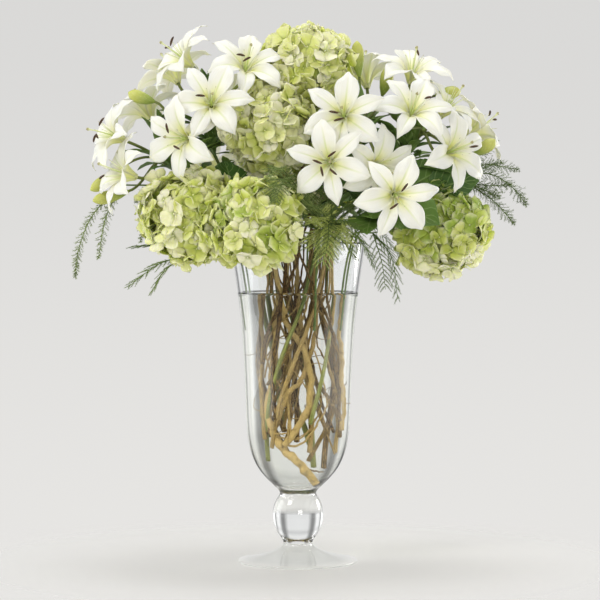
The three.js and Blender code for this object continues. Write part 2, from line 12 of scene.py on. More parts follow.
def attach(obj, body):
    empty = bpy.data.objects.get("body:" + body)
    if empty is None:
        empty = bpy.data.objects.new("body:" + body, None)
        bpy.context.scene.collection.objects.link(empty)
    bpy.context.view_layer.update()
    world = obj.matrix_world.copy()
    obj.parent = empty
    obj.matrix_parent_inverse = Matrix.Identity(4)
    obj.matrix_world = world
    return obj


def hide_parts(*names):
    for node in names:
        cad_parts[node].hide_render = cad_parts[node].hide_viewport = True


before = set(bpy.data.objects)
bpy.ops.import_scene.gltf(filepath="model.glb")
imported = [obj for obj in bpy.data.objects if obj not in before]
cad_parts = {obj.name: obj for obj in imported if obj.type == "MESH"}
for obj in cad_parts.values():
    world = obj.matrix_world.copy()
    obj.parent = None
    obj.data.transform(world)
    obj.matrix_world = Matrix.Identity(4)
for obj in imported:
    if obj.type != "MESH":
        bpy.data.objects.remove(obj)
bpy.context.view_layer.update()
MM = 0.001
TAU = 2 * math.pi
UP = np.array([0.0, 0.0, 1.0])
# the first random seed of each kind of piece, to which the number of the piece is added
SEEDS = {"lily stem": 100, "bloom centre": 200, "bud": 300, "leaf": 400, "extra leaves": 450,
         "placed leaf": 480, "woody stem": 500, "broad leaf": 600, "extra broad leaf": 650, "bloom": 700,
         "turned leaf": 700, "floret shapes": 800, "head": 900, "fern": 1000, "crossing twigs": 1090,
         "twig": 1100, "rootlets": 1150, "extra leaf": 1200}

# ---------------- places, as in the CAD source

BOWL_FLOOR = 119
WATER_LEVEL = 404
# the heights that a stem passes, and its turn from its place at the mouth and its distance there
STEM_HEIGHTS = {"foot": 118, "belly": 270, "waterline": 405, "mouth": 478}
OUTER_RING = {"foot": (-85, 30), "belly": (-50, 46), "waterline": (-15, 42), "mouth": (0, 52)}
INNER_RING = {"foot": (80, 10), "belly": (45, 17), "waterline": (12, 13), "mouth": (0, 14)}

# name, turn at the mouth, route
LILY_STEMS = [
    ("lily_stem_left_high", 150, [(-85, 25, 540), (-125, 15, 610), (-140, 8, 660)]),
    ("lily_stem_left_low", 178, [(-105, -5, 530), (-165, -18, 572), (-200, -22, 600)]),
    ("lily_stem_front", 305, [(50, -62, 530), (76, -66, 580), (88, -48, 640)]),
    ("lily_stem_right", 15, [(105, 15, 540), (155, 0, 595), (182, -10, 640)]),
    ("lily_stem_back", 120, [(-45, 95, 560), (-52, 112, 630)]),
]
# name, stem, where its tepals join, the way it faces, degrees of roll
BLOOMS = [
    ("bloom_left_1", 0, (-158, -30, 742), (-0.7, -0.3, 0.6), 0),
    ("bloom_left_2", 0, (-79, -66, 727), (0.2, -0.7, 0.6), 15),
    ("bloom_left_3", 0, (-125, -115, 677), (0, -0.95, 0.3), 25),
    ("bloom_left_4", 1, (-158, -120, 630), (-0.5, -0.85, 0), 0),
    ("bloom_left_5", 1, (-257, -50, 631), (-0.85, -0.35, 0.35), 30),
    ("bloom_left_6", 1, (-222, 40, 665), (-0.5, 0.35, 0.8), 10),
    ("bloom_left_7", 1, (-238, -85, 576), (-0.8, -0.3, 0.25), 0),
    ("bloom_left_8", 0, (-182, 35, 722), (-0.4, 0.5, 0.8), 20),
    ("bloom_right_1", 2, (66, -150, 660), (-0.05, -1, 0.1), 8),
    ("bloom_right_2", 2, (46, -165, 594), (-0.1, -1, 0), -12),
    ("bloom_right_3", 2, (137, -160, 549), (0.15, -1, -0.1), 20),
    ("bloom_right_4", 2, (106, -110, 594), (0.45, -0.8, -0.2), 0),
    ("bloom_right_5", 3, (167, -20, 719), (0.15, -0.45, 0.85), 0),
    ("bloom_right_6", 3, (163, -100, 661), (0.2, -0.75, 0.6), 30),
    ("bloom_right_7", 3, (215, -85, 610), (0.6, -0.75, 0.2), 10),
    ("bloom_right_8", 3, (212, -20, 668), (0.6, -0.3, 0.75), 20),
    ("bloom_right_9", 3, (255, 20, 640), (0.8, 0.1, 0.5), 0),
    ("bloom_right_10", 2, (104, 30, 715), (-0.1, 0.35, 0.9), 0),
    ("bloom_back_1", 4, (-98, 150, 680), (-0.4, 0.75, 0.5), 0),
    ("bloom_back_2", 4, (0, 168, 665), (0.2, 0.95, 0.3), 25),
    ("bloom_back_3", 4, (-120, 150, 590), (-0.6, 0.8, 0), 0),
]
# stem, where it starts, its tip
BUDS = [
    (2, (92, 4, 728), (88, 0, 782)), (2, (126, -5, 700), (134, -24, 742)),
    (3, (206, 8, 700), (244, 2, 706)), (3, (262, -20, 612), (292, -44, 632)),
    (1, (-214, -8, 690), (-254, -8, 704)), (1, (-268, -20, 588), (-309, -30, 557)),
    (1, (-252, -30, 556), (-303, -58, 541)), (0, (-98, -104, 668), (-106, -152, 658)),
]
# name, centre, radius, turn at the mouth, ring, route
HEADS = [
    ("hydrangea_top", (12, -14, 742), 66, 90, INNER_RING, [(6, 12, 560), (9, 2, 640), (10, -14, 706)]),
    ("hydrangea_middle", (-42, -60, 649), 66, 250, INNER_RING,
     [(-12, -25, 540), (-26, -42, 590), (-40, -58, 625)]),
    ("hydrangea_left", (-152, -95, 521), 73, 215, OUTER_RING,
     [(-78, -55, 508), (-110, -72, 520), (-132, -84, 522)]),
    ("hydrangea_front", (-60, -158, 506), 70, 250, OUTER_RING,
     [(-28, -84, 510), (-42, -118, 522), (-52, -140, 518)]),
    ("hydrangea_right", (213, -30, 496), 67, 335, OUTER_RING,
     [(80, -34, 512), (140, -38, 520), (190, -32, 506)]),
    ("hydrangea_back", (30, 130, 590), 70, 70, OUTER_RING, [(26, 78, 530), (28, 110, 560), (30, 125, 575)]),
]
# name, stalk, fronds
FERNS = [
    ("fern_left_long", [(-67, 20, 350), (-79, 24, 440), (-88, 27, 476), (-96, 29, 493),
                        (-140, 24, 530), (-200, 8, 562), (-262, -6, 566)],
     [[(-262, -6, 566), (-305, -20, 522), (-326, -30, 470), (-331, -34, 428)],
      [(-262, -6, 566), (-284, -36, 520), (-296, -44, 456)],
      [(-200, 8, 562), (-226, 30, 530), (-240, 50, 480)]]),
    ("fern_left_low", [(-69, -12, 350), (-82, -14, 440), (-91, -16, 476), (-99, -17, 492),
                       (-125, -20, 478), (-160, -28, 462)],
     [[(-160, -28, 462), (-205, -52, 448), (-250, -76, 414)],
      [(-160, -28, 462), (-205, -14, 476), (-248, -30, 474)]]),
    ("fern_front", [(23, -66, 350), (27, -79, 440), (30, -87, 476), (33, -95, 493), (44, -112, 512)],
     [[(44, -112, 512), (74, -134, 508), (98, -142, 468)],
      [(44, -112, 512), (30, -136, 528), (4, -150, 540)],
      [(44, -112, 512), (44, -142, 488), (36, -152, 446)]]),
    ("fern_right_low", [(58, -38, 350), (69, -45, 440), (77, -50, 476), (84, -55, 493), (110, -70, 494)],
     [[(110, -70, 494), (136, -84, 460), (146, -90, 397)],
      [(110, -70, 494), (124, -50, 450), (130, -40, 410)]]),
    ("fern_right_long", [(66, 26, 350), (77, 31, 440), (85, 35, 476), (92, 38, 493),
                         (130, 48, 530), (190, 52, 562), (240, 48, 578)],
     [[(240, 48, 578), (290, 30, 583), (325, 8, 560), (341, -10, 536)],
      [(240, 48, 578), (285, 62, 598), (336, 52, 590)],
      [(240, 48, 578), (290, 4, 545), (322, -26, 508)]]),
    ("fern_back", [(12, 70, 350), (14, 82, 440), (15, 91, 476), (17, 99, 493), (60, 132, 512)],
     [[(60, 132, 512), (110, 165, 510), (160, 172, 460)],
      [(60, 132, 512), (110, 130, 560), (150, 120, 600)],
      [(60, 132, 512), (60, 190, 500), (60, 220, 450)]]),
]
# stem or head, way along its route, turn about it, rise
LILY_LEAVES = [
    (0, 0.72, 150, 0.5), (0, 0.86, 60, 0.6), (1, 0.74, 200, -0.2), (1, 0.86, 90, 0.3),
    (2, 0.76, 290, 0.1), (2, 0.86, 350, 0.4), (3, 0.74, 300, 0.1), (3, 0.84, 20, 0.2),
    (3, 0.92, 320, 0.1), (4, 0.76, 100, 0.2), (4, 0.9, 30, 0.5), (4, 0.86, 170, 0.1),
]
HYDRANGEA_LEAVES = [
    (2, 0.68, 180, -0.2), (3, 0.68, 200, 0.2), (4, 0.84, 30, 0.3), (4, 0.76, 290, -0.1),
    (5, 0.68, 10, 0.1), (5, 0.66, 150, 0.1),
]
LILY_LEAF_LENGTH = 78
HYDRANGEA_LEAF_LENGTH = 108
TEPAL_REACH = 63
# the changes that the CAD source tries for its tepals and leaves until they touch nothing
LEANS = (6, 0, 12, -6, 18, -11, 24, 30, -16, 36, 42, 48, 54, 60)
LEAF_SWINGS = (0, 15, -15, 30, -30, 45, -45, 60, -60, 80, -80)
LEAF_LIFTS = (0, 0.25, -0.25, 0.5, -0.5)

# ---------------- small helpers


def seeded(kind, number=0):
    return np.random.default_rng(SEEDS[kind] + number)


def vec(*p):
    return np.array(p[0] if len(p) == 1 else p, float)


def unit(v):
    v = np.asarray(v, float)
    return v / np.maximum(np.linalg.norm(v, axis=-1, keepdims=True), 1e-9)


def level_way(angle):
    """The level direction at an angle, in radians, about the vase's axis."""
    return vec(math.cos(angle), math.sin(angle), 0)


def line_length(line):
    return np.linalg.norm(np.diff(line, axis=0), axis=1).sum()


def spline(points, ts):
    """Points at ts, from 0 to 1, on a centripetal Catmull-Rom curve through the given points."""
    p = np.asarray(points, float)
    p = np.vstack([2 * p[0] - p[1], p, 2 * p[-1] - p[-2]])
    s = np.clip(np.asarray(ts, float), 0, 1) * (len(p) - 3)
    k = np.minimum(s.astype(int), len(p) - 4)
    w = (s - k)[:, None]
    p0, p1, p2, p3 = p[k], p[k + 1], p[k + 2], p[k + 3]
    d0, d1, d2 = (np.maximum(np.linalg.norm(b - a, axis=1), 1e-6)[:, None] ** 0.5
                  for a, b in ((p0, p1), (p1, p2), (p2, p3)))
    m1 = ((p1 - p0) / d0 - (p2 - p0) / (d0 + d1) + (p2 - p1) / d1) * d1
    m2 = ((p2 - p1) / d1 - (p3 - p1) / (d1 + d2) + (p3 - p2) / d2) * d1
    return (p1 + m1 * w + (-3 * p1 + 3 * p2 - 2 * m1 - m2) * w ** 2
            + (2 * p1 - 2 * p2 + m1 + m2) * w ** 3)


def eased(stops, t):
    """A line through (place, value) stops, rounded at each of them and exact at both ends."""
    x, y = zip(*stops)
    even = np.linspace(0, 1, 81)
    line = np.interp(even, x, y)
    kernel = np.hanning(9)[1:-1]
    soft = np.convolve(np.pad(line, 3, "edge"), kernel / kernel.sum(), "valid")
    blend = np.clip(np.minimum(even, 1 - even) * 14, 0, 1)
    return np.interp(t, even, line * (1 - blend) + soft * blend)


def points_tree(points):
    tree = KDTree(len(points))
    for k, p in enumerate(points):
        tree.insert(p, k)
    tree.balance()
    return tree


def cad_tree(node):
    return points_tree([v.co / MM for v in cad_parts[node].data.vertices])


class Pile:
    """Closed shells gathered for one piece. Each point keeps along, across and tint for its material."""

    def __init__(self):
        self.points, self.faces, self.values, self.kinds, self.count = [], [], [], [], 0

    def add(self, points, faces, along, across, tint, kind=0):
        points = np.asarray(points, float).reshape(-1, 3)
        rows = [np.broadcast_to(np.asarray(a, float).ravel(), (len(points),)) for a in (along, across, tint)]
        self.points.append(points)
        self.values.append(np.stack(rows, 1))
        self.faces.append(np.asarray(faces, int) + self.count)
        self.kinds.append(np.full(len(faces), kind, np.int32))
        self.count += len(points)

    def made(self, name, materials, nodes=()):
        """The shells as one object. A face that names its third point twice is a triangle."""
        points, faces, values = np.vstack(self.points), np.vstack(self.faces), np.vstack(self.values)
        triangle = faces[:, 2] == faces[:, 3]
        sizes = np.where(triangle, 3, 4).astype(np.int32)
        starts = np.concatenate([[0], np.cumsum(sizes)[:-1]]).astype(np.int32)
        used = np.ones(faces.shape, bool)
        used[triangle, 3] = False
        corners = faces[used].astype(np.int32)
        mesh = bpy.data.meshes.new(name)
        mesh.vertices.add(len(points))
        mesh.vertices.foreach_set("co", (points * MM).astype(np.float32).ravel())
        mesh.loops.add(len(corners))
        mesh.loops.foreach_set("vertex_index", corners)
        mesh.polygons.add(len(faces))
        for label, data in (("loop_start", starts), ("loop_total", sizes),
                            ("material_index", np.concatenate(self.kinds)),
                            ("use_smooth", np.ones(len(faces), bool))):
            mesh.polygons.foreach_set(label, data)
        for label, column in zip(("along", "across", "tint"), values.T):
            attribute = mesh.attributes.new(label, "FLOAT", "POINT")
            attribute.data.foreach_set("value", column.astype(np.float32))
        mesh.update(calc_edges=True)
        mesh.validate()
        for material in materials:
            mesh.materials.append(material)
        thing = bpy.data.objects.new(name, mesh)
        bpy.context.scene.collection.objects.link(thing)
        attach(thing, "root")
        if nodes:
            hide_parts(*nodes)
        return thing


def quads(*corners):
    """A face for each set of four point numbers."""
    return np.stack([c.ravel() for c in corners], 1)


def leafy(grid, half_thickness):
    """The points and faces of a thin closed sheet over a grid of points, with its grid coordinates."""
    m, n = grid.shape[:2]
    normal = unit(np.cross(np.gradient(grid, axis=0), np.gradient(grid, axis=1)))
    push = normal * np.broadcast_to(half_thickness, (m, n))[..., None]
    points = np.concatenate([(grid + push).reshape(-1, 3), (grid - push).reshape(-1, 3)])
    front = np.arange(m * n).reshape(m, n)
    back = front + m * n
    faces = [
        quads(front[:-1, :-1], front[1:, :-1], front[1:, 1:], front[:-1, 1:]),
        quads(back[:-1, 1:], back[1:, 1:], back[1:, :-1], back[:-1, :-1]),
        quads(front[:-1, 0], back[:-1, 0], back[1:, 0], front[1:, 0]),
        quads(front[1:, -1], back[1:, -1], back[:-1, -1], front[:-1, -1]),
        quads(front[0, 1:], back[0, 1:], back[0, :-1], front[0, :-1]),
        quads(front[-1, :-1], back[-1, :-1], back[-1, 1:], front[-1, 1:]),
    ]
    along, across = np.meshgrid(np.linspace(0, 1, m), np.linspace(-1, 1, n), indexing="ij")
    return points, np.vstack(faces), np.tile(along.ravel(), 2), np.tile(across.ravel(), 2)


def ring_shell(rings, first, last):
    """The points and faces of a closed shell through rings of points, with one more point at each end."""
    m, sides = rings.shape[:2]
    points = np.vstack([rings.reshape(-1, 3), first, last])
    ring = np.arange(m * sides).reshape(m, sides)
    after = np.roll(ring, -1, axis=1)
    low, high = np.full(sides, m * sides), np.full(sides, m * sides + 1)
    return points, np.vstack([quads(ring[:-1], after[:-1], after[1:], ring[1:]),
                              quads(after[0], ring[0], low, low), quads(ring[-1], after[-1], high, high)])


def tube(pile, line, radii, sides, tint, kind=0, ribs=1):
    """A closed tube round a line, with low domed ends. ribs gives each side's share of the radius."""
    line = np.asarray(line, float)
    radii = np.broadcast_to(np.asarray(radii, float), (len(line),))
    ahead = unit(np.gradient(line, axis=0))
    wide = [unit(np.cross(ahead[0], UP if abs(ahead[0][2]) < 0.9 else vec(1, 0, 0)))]
    for a in ahead[1:]:
        wide.append(unit(wide[-1] - a * (wide[-1] @ a)))
    wide = np.array(wide)
    over = np.cross(ahead, wide)
    turn = np.linspace(0, TAU, sides, endpoint=False)
    reach = radii[:, None] * (np.ones(sides) * ribs)
    rings = (line[:, None] + wide[:, None] * (np.cos(turn) * reach)[..., None]
             + over[:, None] * (np.sin(turn) * reach)[..., None])
    dome = 0.3
    points, faces = ring_shell(rings, line[0] - ahead[0] * radii[0] * dome,
                               line[-1] + ahead[-1] * radii[-1] * dome)
    along = np.concatenate([np.repeat(np.linspace(0, 1, len(line)), sides), [0, 1]])
    across = np.concatenate([np.tile(turn / TAU, len(line)), [0, 0]])
    pile.add(points, faces, along, across, tint, kind)


def needles(pile, starts, ways, lengths, radius, tint, kind=0):
    """Many thin three-sided spikes at once."""
    starts, ways = np.asarray(starts, float), unit(ways)
    n = len(starts)
    other_way = vec(0.31, 0.17, 0.94)
    side = unit(np.cross(ways, other_way))
    over = np.cross(ways, side)
    thirds = (0, TAU / 3, 2 * TAU / 3)
    corners = [starts + radius * (math.cos(a) * side + math.sin(a) * over) for a in thirds]
    tips = starts + ways * np.asarray(lengths)[:, None]
    points = np.stack([*corners, tips], 1).reshape(-1, 3)
    base = np.arange(n)[:, None] * 4
    shape = np.array([[0, 1, 3, 3], [1, 2, 3, 3], [2, 0, 3, 3], [2, 1, 0, 0]])
    faces = (base[:, :, None] + shape[None]).reshape(-1, 4)
    pile.add(points, faces, np.tile([0, 0, 0, 1], n), 0, np.repeat(np.broadcast_to(tint, (n,)), 4), kind)


# ---------------- materials


class Graph:
    """A node tree under construction. An input is a number, a colour or another node's socket."""

    def __init__(self, tree):
        self.tree = tree

    def put(self, socket, value):
        if isinstance(value, bpy.types.NodeSocket):
            self.tree.links.new(value, socket)
        else:
            socket.default_value = value

    def set(self, node, inputs):
        for key, value in inputs.items():
            self.put(node.inputs[key], value)

    def add(self, kind, inputs=None, **properties):
        node = self.tree.nodes.new("ShaderNode" + kind)
        for key, value in properties.items():
            setattr(node, key, value)
        self.set(node, inputs or {})
        return node

    def math(self, operation, *values):
        return self.add("Math", dict(enumerate(values)), operation=operation).outputs[0]

    def times(self, one, other):
        return self.math("MULTIPLY", one, other)

    def values(self, *labels):
        """What each point of a pile keeps under these labels."""
        return [self.add("Attribute", attribute_name=label).outputs["Fac"] for label in labels]

    def ramp(self, value, low, high, first=0.0, last=1.0):
        return self.add("MapRange", {"Value": value, "From Min": low, "From Max": high, "To Min": first,
                                     "To Max": last}, interpolation_type="SMOOTHSTEP").outputs[0]

    def mix(self, share, one, other, blend="MIX"):
        node = self.add("Mix", {0: share}, data_type="RGBA", blend_type=blend)
        colours = [socket for socket in node.inputs if socket.type == "RGBA"]
        for socket, value in zip(colours, (one, other)):
            self.put(socket, (*value, 1) if isinstance(value, tuple) else value)
        return next(socket for socket in node.outputs if socket.type == "RGBA")

    def noise(self, scale, detail=3, vector=None, roughness=0.5):
        inputs = {"Scale": scale, "Detail": detail, "Roughness": roughness}
        if vector is not None:
            inputs["Vector"] = vector
        return self.add("TexNoise", inputs).outputs["Fac"]

    def here(self):
        return self.add("TexCoord").outputs["Object"]

    def level(self):
        """The height above the surface that the vase stands on, in metres."""
        return self.add("SeparateXYZ", {0: self.here()}).outputs[2]

    def combined(self, x, y, z=0.0):
        return self.add("CombineXYZ", {0: x, 1: y, 2: z}).outputs[0]

    def bump(self, height, strength, distance):
        return self.add("Bump", {"Height": height, "Strength": strength, "Distance": distance}).outputs[0]


class Paint(Graph):
    """A material made round its Principled shader."""

    SOCKETS = {"color": "Base Color", "roughness": "Roughness", "normal": "Normal", "ior": "IOR",
               "transmission": "Transmission Weight", "subsurface": "Subsurface Weight",
               "radius": "Subsurface Radius", "scale": "Subsurface Scale", "sheen": "Sheen Weight",
               "specular": "Specular IOR Level"}

    def __init__(self, name):
        self.material = bpy.data.materials.new(name)
        self.material.use_nodes = True
        super().__init__(self.material.node_tree)
        self.shader = self.tree.nodes["Principled BSDF"]

    def finish(self, **inputs):
        self.set(self.shader, {self.SOCKETS[key]: value for key, value in inputs.items()})
        return self.material

    def cleared(self, share, colour=(1, 1, 1)):
        """The material with its shader mixed by a share with a clear one."""
        clear = self.add("BsdfTransparent", {"Color": (*colour, 1)})
        both = self.add("MixShader", {0: share, 1: self.shader.outputs[0], 2: clear.outputs[0]})
        self.put(self.tree.nodes["Material Output"].inputs["Surface"], both.outputs[0])
        return self.material


# the waterline in metres
SURFACE = STEM_HEIGHTS["waterline"] * MM


def petal_paint():
    p = Paint("lily petal")
    along, across, tint = p.values("along", "across", "tint")
    middle = p.math("ABSOLUTE", across)
    streaks = p.noise(9, 3, p.combined(p.times(across, 2.2), p.times(along, 0.5), tint))
    throat = p.times(p.ramp(along, 0.1, 0.5, 1, 0), p.ramp(middle, 0.2, 1.0, 1, 0.45))
    rib = p.times(p.ramp(middle, 0.0, 0.16, 1, 0), p.ramp(along, 0.25, 0.85, 0.75, 0))
    white = p.mix(p.ramp(streaks, 0.3, 0.7), (0.91, 0.89, 0.77), (0.95, 0.935, 0.83))
    white = p.mix(p.times(tint, 0.3), white, (0.95, 0.90, 0.74))
    colour = p.mix(p.times(throat, 0.85), white, (0.76, 0.77, 0.22))
    colour = p.mix(rib, colour, (0.66, 0.74, 0.34))
    normal = p.bump(streaks, 0.25, 0.0006)
    return p.finish(color=colour, roughness=0.5, normal=normal, subsurface=0.75, radius=(1, 0.95, 0.8),
                    scale=0.002, sheen=0.1)


def floret_paint():
    p = Paint("hydrangea floret")
    along, across, tint = p.values("along", "across", "tint")
    middle = p.math("ABSOLUTE", across)
    mottle = p.noise(60, 3, p.here())
    # low tints give dark green, a painted shade on the florets of a head's inner layers; high tints give
    # cream
    green = p.mix(p.ramp(tint, 0.0, 0.35), (0.28, 0.40, 0.04), (0.58, 0.65, 0.12))
    green = p.mix(p.ramp(tint, 0.25, 1.0), green, (0.92, 0.93, 0.44))
    green = p.mix(p.ramp(tint, 0.72, 1.0, 0, 0.85), green, (0.97, 0.96, 0.70))
    green = p.mix(p.ramp(mottle, 0.35, 0.7, 0, 0.45), green, (0.52, 0.60, 0.11))
    edge = p.times(p.ramp(along, 0.45, 1.0), 0.5)
    colour = p.mix(edge, green, (0.94, 0.93, 0.60))
    # darker green towards each sepal's base: partly the floret's own green middle, partly painted shade where
    # the florets overlap
    colour = p.mix(p.ramp(along, 0.0, 0.35, 0.7, 0), colour, (0.34, 0.44, 0.06))
    slanted = p.math("SUBTRACT", p.times(middle, 0.7), along)
    veins = p.math("SINE", p.times(slanted, 26.0))
    ribs = p.math("ADD", p.times(veins, 0.25), p.ramp(middle, 0.0, 0.12, 1, 0))
    return p.finish(color=colour, roughness=0.55, normal=p.bump(ribs, 0.3, 0.0006), subsurface=0.35,
                    radius=(0.8, 1, 0.35), scale=0.004, sheen=0.05)


def leaf_paint(name, dark, light, vein, veins_each_side):
    p = Paint(name)
    along, across, tint = p.values("along", "across", "tint")
    middle = p.math("ABSOLUTE", across)
    mottle = p.noise(45, 4, p.here())
    slanted = p.math("SUBTRACT", along, p.times(middle, 0.22))
    wave = p.math("SINE", p.times(slanted, TAU * veins_each_side))
    side = p.ramp(wave, 0.82, 1.0)
    rib = p.ramp(middle, 0.0, 0.07, 1, 0)
    lines = p.math("MAXIMUM", rib, p.times(side, 0.7))
    green = p.mix(tint, dark, light)
    green = p.mix(p.ramp(mottle, 0.4, 0.75, 0, 0.4), green, light)
    colour = p.mix(p.times(lines, 0.6), green, vein)
    normal = p.bump(p.math("SUBTRACT", mottle, lines), 0.4, 0.001)
    return p.finish(color=colour, roughness=p.ramp(mottle, 0.2, 0.8, 0.36, 0.55), normal=normal,
                    specular=0.35, subsurface=0.08, radius=(0.5, 1, 0.2), scale=0.002)


def stem_paint():
    p = Paint("green stem")
    along, across, tint = p.values("along", "across", "tint")
    streaks = p.noise(5, 4, p.combined(p.times(across, 6), p.times(along, 9), tint))
    colour = p.mix(p.ramp(streaks, 0.3, 0.7), (0.05, 0.085, 0.013), (0.18, 0.21, 0.045))
    colour = p.mix(p.times(tint, 0.35), colour, (0.42, 0.46, 0.18))
    low = p.ramp(p.level(), 0.32, SURFACE, 0.45, 0)
    colour = p.mix(p.times(low, p.ramp(streaks, 0.2, 0.7, 0.5, 1)), colour, (0.44, 0.43, 0.13))
    return p.finish(color=colour, roughness=0.45, normal=p.bump(streaks, 0.3, 0.0008), specular=0.2)


def bark_paint():
    p = Paint("woody bark")
    along, across, tint = p.values("along", "across", "tint")
    rough = p.noise(110, 5, p.here(), 0.6)
    streaks = p.noise(4, 4, p.combined(p.times(across, 5), p.times(along, 22), tint))
    colour = p.mix(p.ramp(streaks, 0.36, 0.76), (0.010, 0.005, 0.002), (0.25, 0.14, 0.042))
    low = p.ramp(p.level(), 0.30, SURFACE, 0.3, 0)
    colour = p.mix(p.times(low, p.ramp(streaks, 0.5, 0.62)), colour, (0.66, 0.46, 0.17))
    colour = p.mix(p.times(tint, 0.75), colour, (0.72, 0.53, 0.21))
    colour = p.mix(p.ramp(rough, 0.5, 0.8, 0, 0.5), colour, (0.07, 0.04, 0.018))
    normal = p.bump(p.math("ADD", rough, streaks), 0.6, 0.0012)
    return p.finish(color=colour, roughness=p.ramp(rough, 0.3, 0.8, 0.5, 0.8), normal=normal, specular=0.1)


def bud_paint():
    p = Paint("lily bud")
    along, across = p.values("along", "across")
    streaks = p.noise(6, 3, p.combined(p.times(across, 8), p.times(along, 1.5)))
    colour = p.mix(p.ramp(along, 0.1, 0.85), (0.30, 0.40, 0.07), (0.56, 0.58, 0.13))
    colour = p.mix(p.ramp(streaks, 0.45, 0.75, 0, 0.5), colour, (0.68, 0.70, 0.33))
    return p.finish(color=colour, roughness=0.45, normal=p.bump(streaks, 0.25, 0.0008), subsurface=0.15,
                    radius=(0.8, 1, 0.3), scale=0.004)


def pistil_paint():
    p = Paint("lily pistil")
    along, tint = p.values("along", "tint")
    mottle = p.noise(300, 2, p.here())
    colour = p.mix(p.ramp(along, 0.2, 0.9), (0.50, 0.62, 0.16), (0.72, 0.76, 0.42))
    colour = p.mix(p.times(p.ramp(along, 0.93, 0.97), 0.8), colour, (0.30, 0.24, 0.10))
    colour = p.mix(p.ramp(mottle, 0.4, 0.8, 0, 0.3), colour, (0.66, 0.72, 0.30))
    return p.finish(color=p.mix(p.times(tint, 0.3), colour, (0.85, 0.87, 0.7)), roughness=0.4)


def anther_paint():
    p = Paint("lily anther")
    mottle = p.noise(700, 3, p.here())
    colour = p.mix(p.ramp(mottle, 0.35, 0.7), (0.035, 0.018, 0.010), (0.13, 0.07, 0.03))
    return p.finish(color=colour, roughness=0.85, normal=p.bump(mottle, 0.6, 0.0006))


def fern_paint(name, dark, pale, tip):
    p = Paint(name)
    along, tint = p.values("along", "tint")
    colour = p.mix(tint, dark, pale)
    colour = p.mix(p.times(along, 0.5), colour, tip)
    mottle = p.noise(90, 2, p.here())
    colour = p.mix(p.ramp(mottle, 0.4, 0.7, 0, 0.35), colour, dark)
    return p.finish(color=colour, roughness=0.6, specular=0.2)


def clear_paint(name, colour, ior, waviness):
    """Glass or water. Light passes straight through where it only casts a shadow."""
    p = Paint(name)
    normal = p.bump(p.noise(14, 2, p.here()), waviness, 0.002)
    p.finish(color=(*colour, 1), roughness=0.0, ior=ior, transmission=1.0, normal=normal)
    return p.cleared(p.add("LightPath").outputs["Is Shadow Ray"], colour)


PETAL, FLORET, STEM, BARK = petal_paint(), floret_paint(), stem_paint(), bark_paint()
BUD, PISTIL, ANTHER = bud_paint(), pistil_paint(), anther_paint()
FERN = fern_paint("fern", (0.04, 0.09, 0.01), (0.36, 0.43, 0.16), (0.26, 0.38, 0.10))
FRESH_FERN = fern_paint("fresh fern", (0.42, 0.52, 0.08), (0.90, 0.94, 0.38), (0.84, 0.90, 0.36))
LILY_LEAF = leaf_paint("lily leaf", (0.055, 0.12, 0.022), (0.20, 0.30, 0.07), (0.30, 0.42, 0.14), 1)
BROAD_LEAF = leaf_paint("hydrangea leaf", (0.04, 0.10, 0.02), (0.15, 0.26, 0.05), (0.30, 0.42, 0.15), 9)
GLASS = clear_paint("clear glass", (0.985, 0.995, 0.99), 1.5, 0.06)
WATER = clear_paint("water", (0.985, 0.98, 0.93), 1.333, 0.02)

# ---------------- vase and water

# the vase's outline from its foot up and over its rim, and then down inside, as (radius, height)
FOOT = [(0, 0), (60, 0), (86, 0), (89.4, 0.8), (90, 2), (89, 3.4), (80, 5.2), (66, 8), (50, 12), (36, 17),
        (26, 22.5)]
NECK = [(22.6, 26), (21.8, 29), (22.6, 32)]
KNOP = [(26, 37.5), (31.5, 45.5), (35.6, 55), (37.7, 65), (38, 71), (37.6, 77), (35.4, 87), (31.6, 95.5),
        (27.6, 101.5)]
BOWL = [(27, 104), (28.6, 107.5), (37, 116), (50, 129), (60, 142), (67.5, 157), (73, 174), (76.6, 195),
        (78.6, 225), (80.2, 265), (82.6, 315), (86, 365), (93, 422), (98, 457), (100.6, 474)]
RIM = [(101, 478), (100.4, 479.6), (99.2, 480), (98, 479.5)]
INSIDE = [(97, 474), (94, 454), (89, 421), (81.5, 365), (78, 315), (75.5, 265), (74.2, 225), (72, 195),
          (68, 174), (62, 158), (54, 144.5), (43, 133), (28, 124.5), (12, 120), (0, BOWL_FLOOR)]
TURNED_SIDES = 128


def turned(outline, name, material, node):
    """A turned closed shell whose outline starts and ends on the axis."""
    outline = np.asarray(outline, float)
    turn = np.linspace(0, TAU, TURNED_SIDES, endpoint=False)
    body = outline[1:-1]
    rings = np.stack([body[:, :1] * np.cos(turn), body[:, :1] * np.sin(turn),
                      np.broadcast_to(body[:, 1:], (len(body), TURNED_SIDES))], 2)
    points, faces = ring_shell(rings, [0, 0, outline[0][1]], [0, 0, outline[-1][1]])
    pile = Pile()
    pile.add(points, faces, 0, 0, 0)
    return pile.made(name, [material], [node])


def smooth_profile(points, count):
    flat = [(x, 0, z) for x, z in points]
    return spline(flat, np.linspace(0, 1, count))[:, [0, 2]]


foot = smooth_profile(FOOT[1:], 40)
middle = smooth_profile([FOOT[-1], *NECK, *KNOP, BOWL[0]], 60)[1:]
bowl = smooth_profile(BOWL, 90)[1:]
rim = smooth_profile([BOWL[-1], *RIM, INSIDE[0]], 16)[1:]
inside = smooth_profile(INSIDE, 90)[1:]
outline = np.maximum(np.vstack([[(0, 0)], foot, middle, bowl, rim, inside]), 0)
turned(outline, "vase_glass", GLASS, "vase")


def wall_radius(height):
    """The inside radius of the bowl at a height."""
    return np.interp(height, inside[::-1, 1], inside[::-1, 0])


# The water reaches a little into the glass, so that no film of air shows between them.
WALL_OVERLAP = 0.4
wet = inside[inside[:, 1] < WATER_LEVEL - 1][::-1] + [WALL_OVERLAP, -WALL_OVERLAP]
wall = wall_radius(WATER_LEVEL)
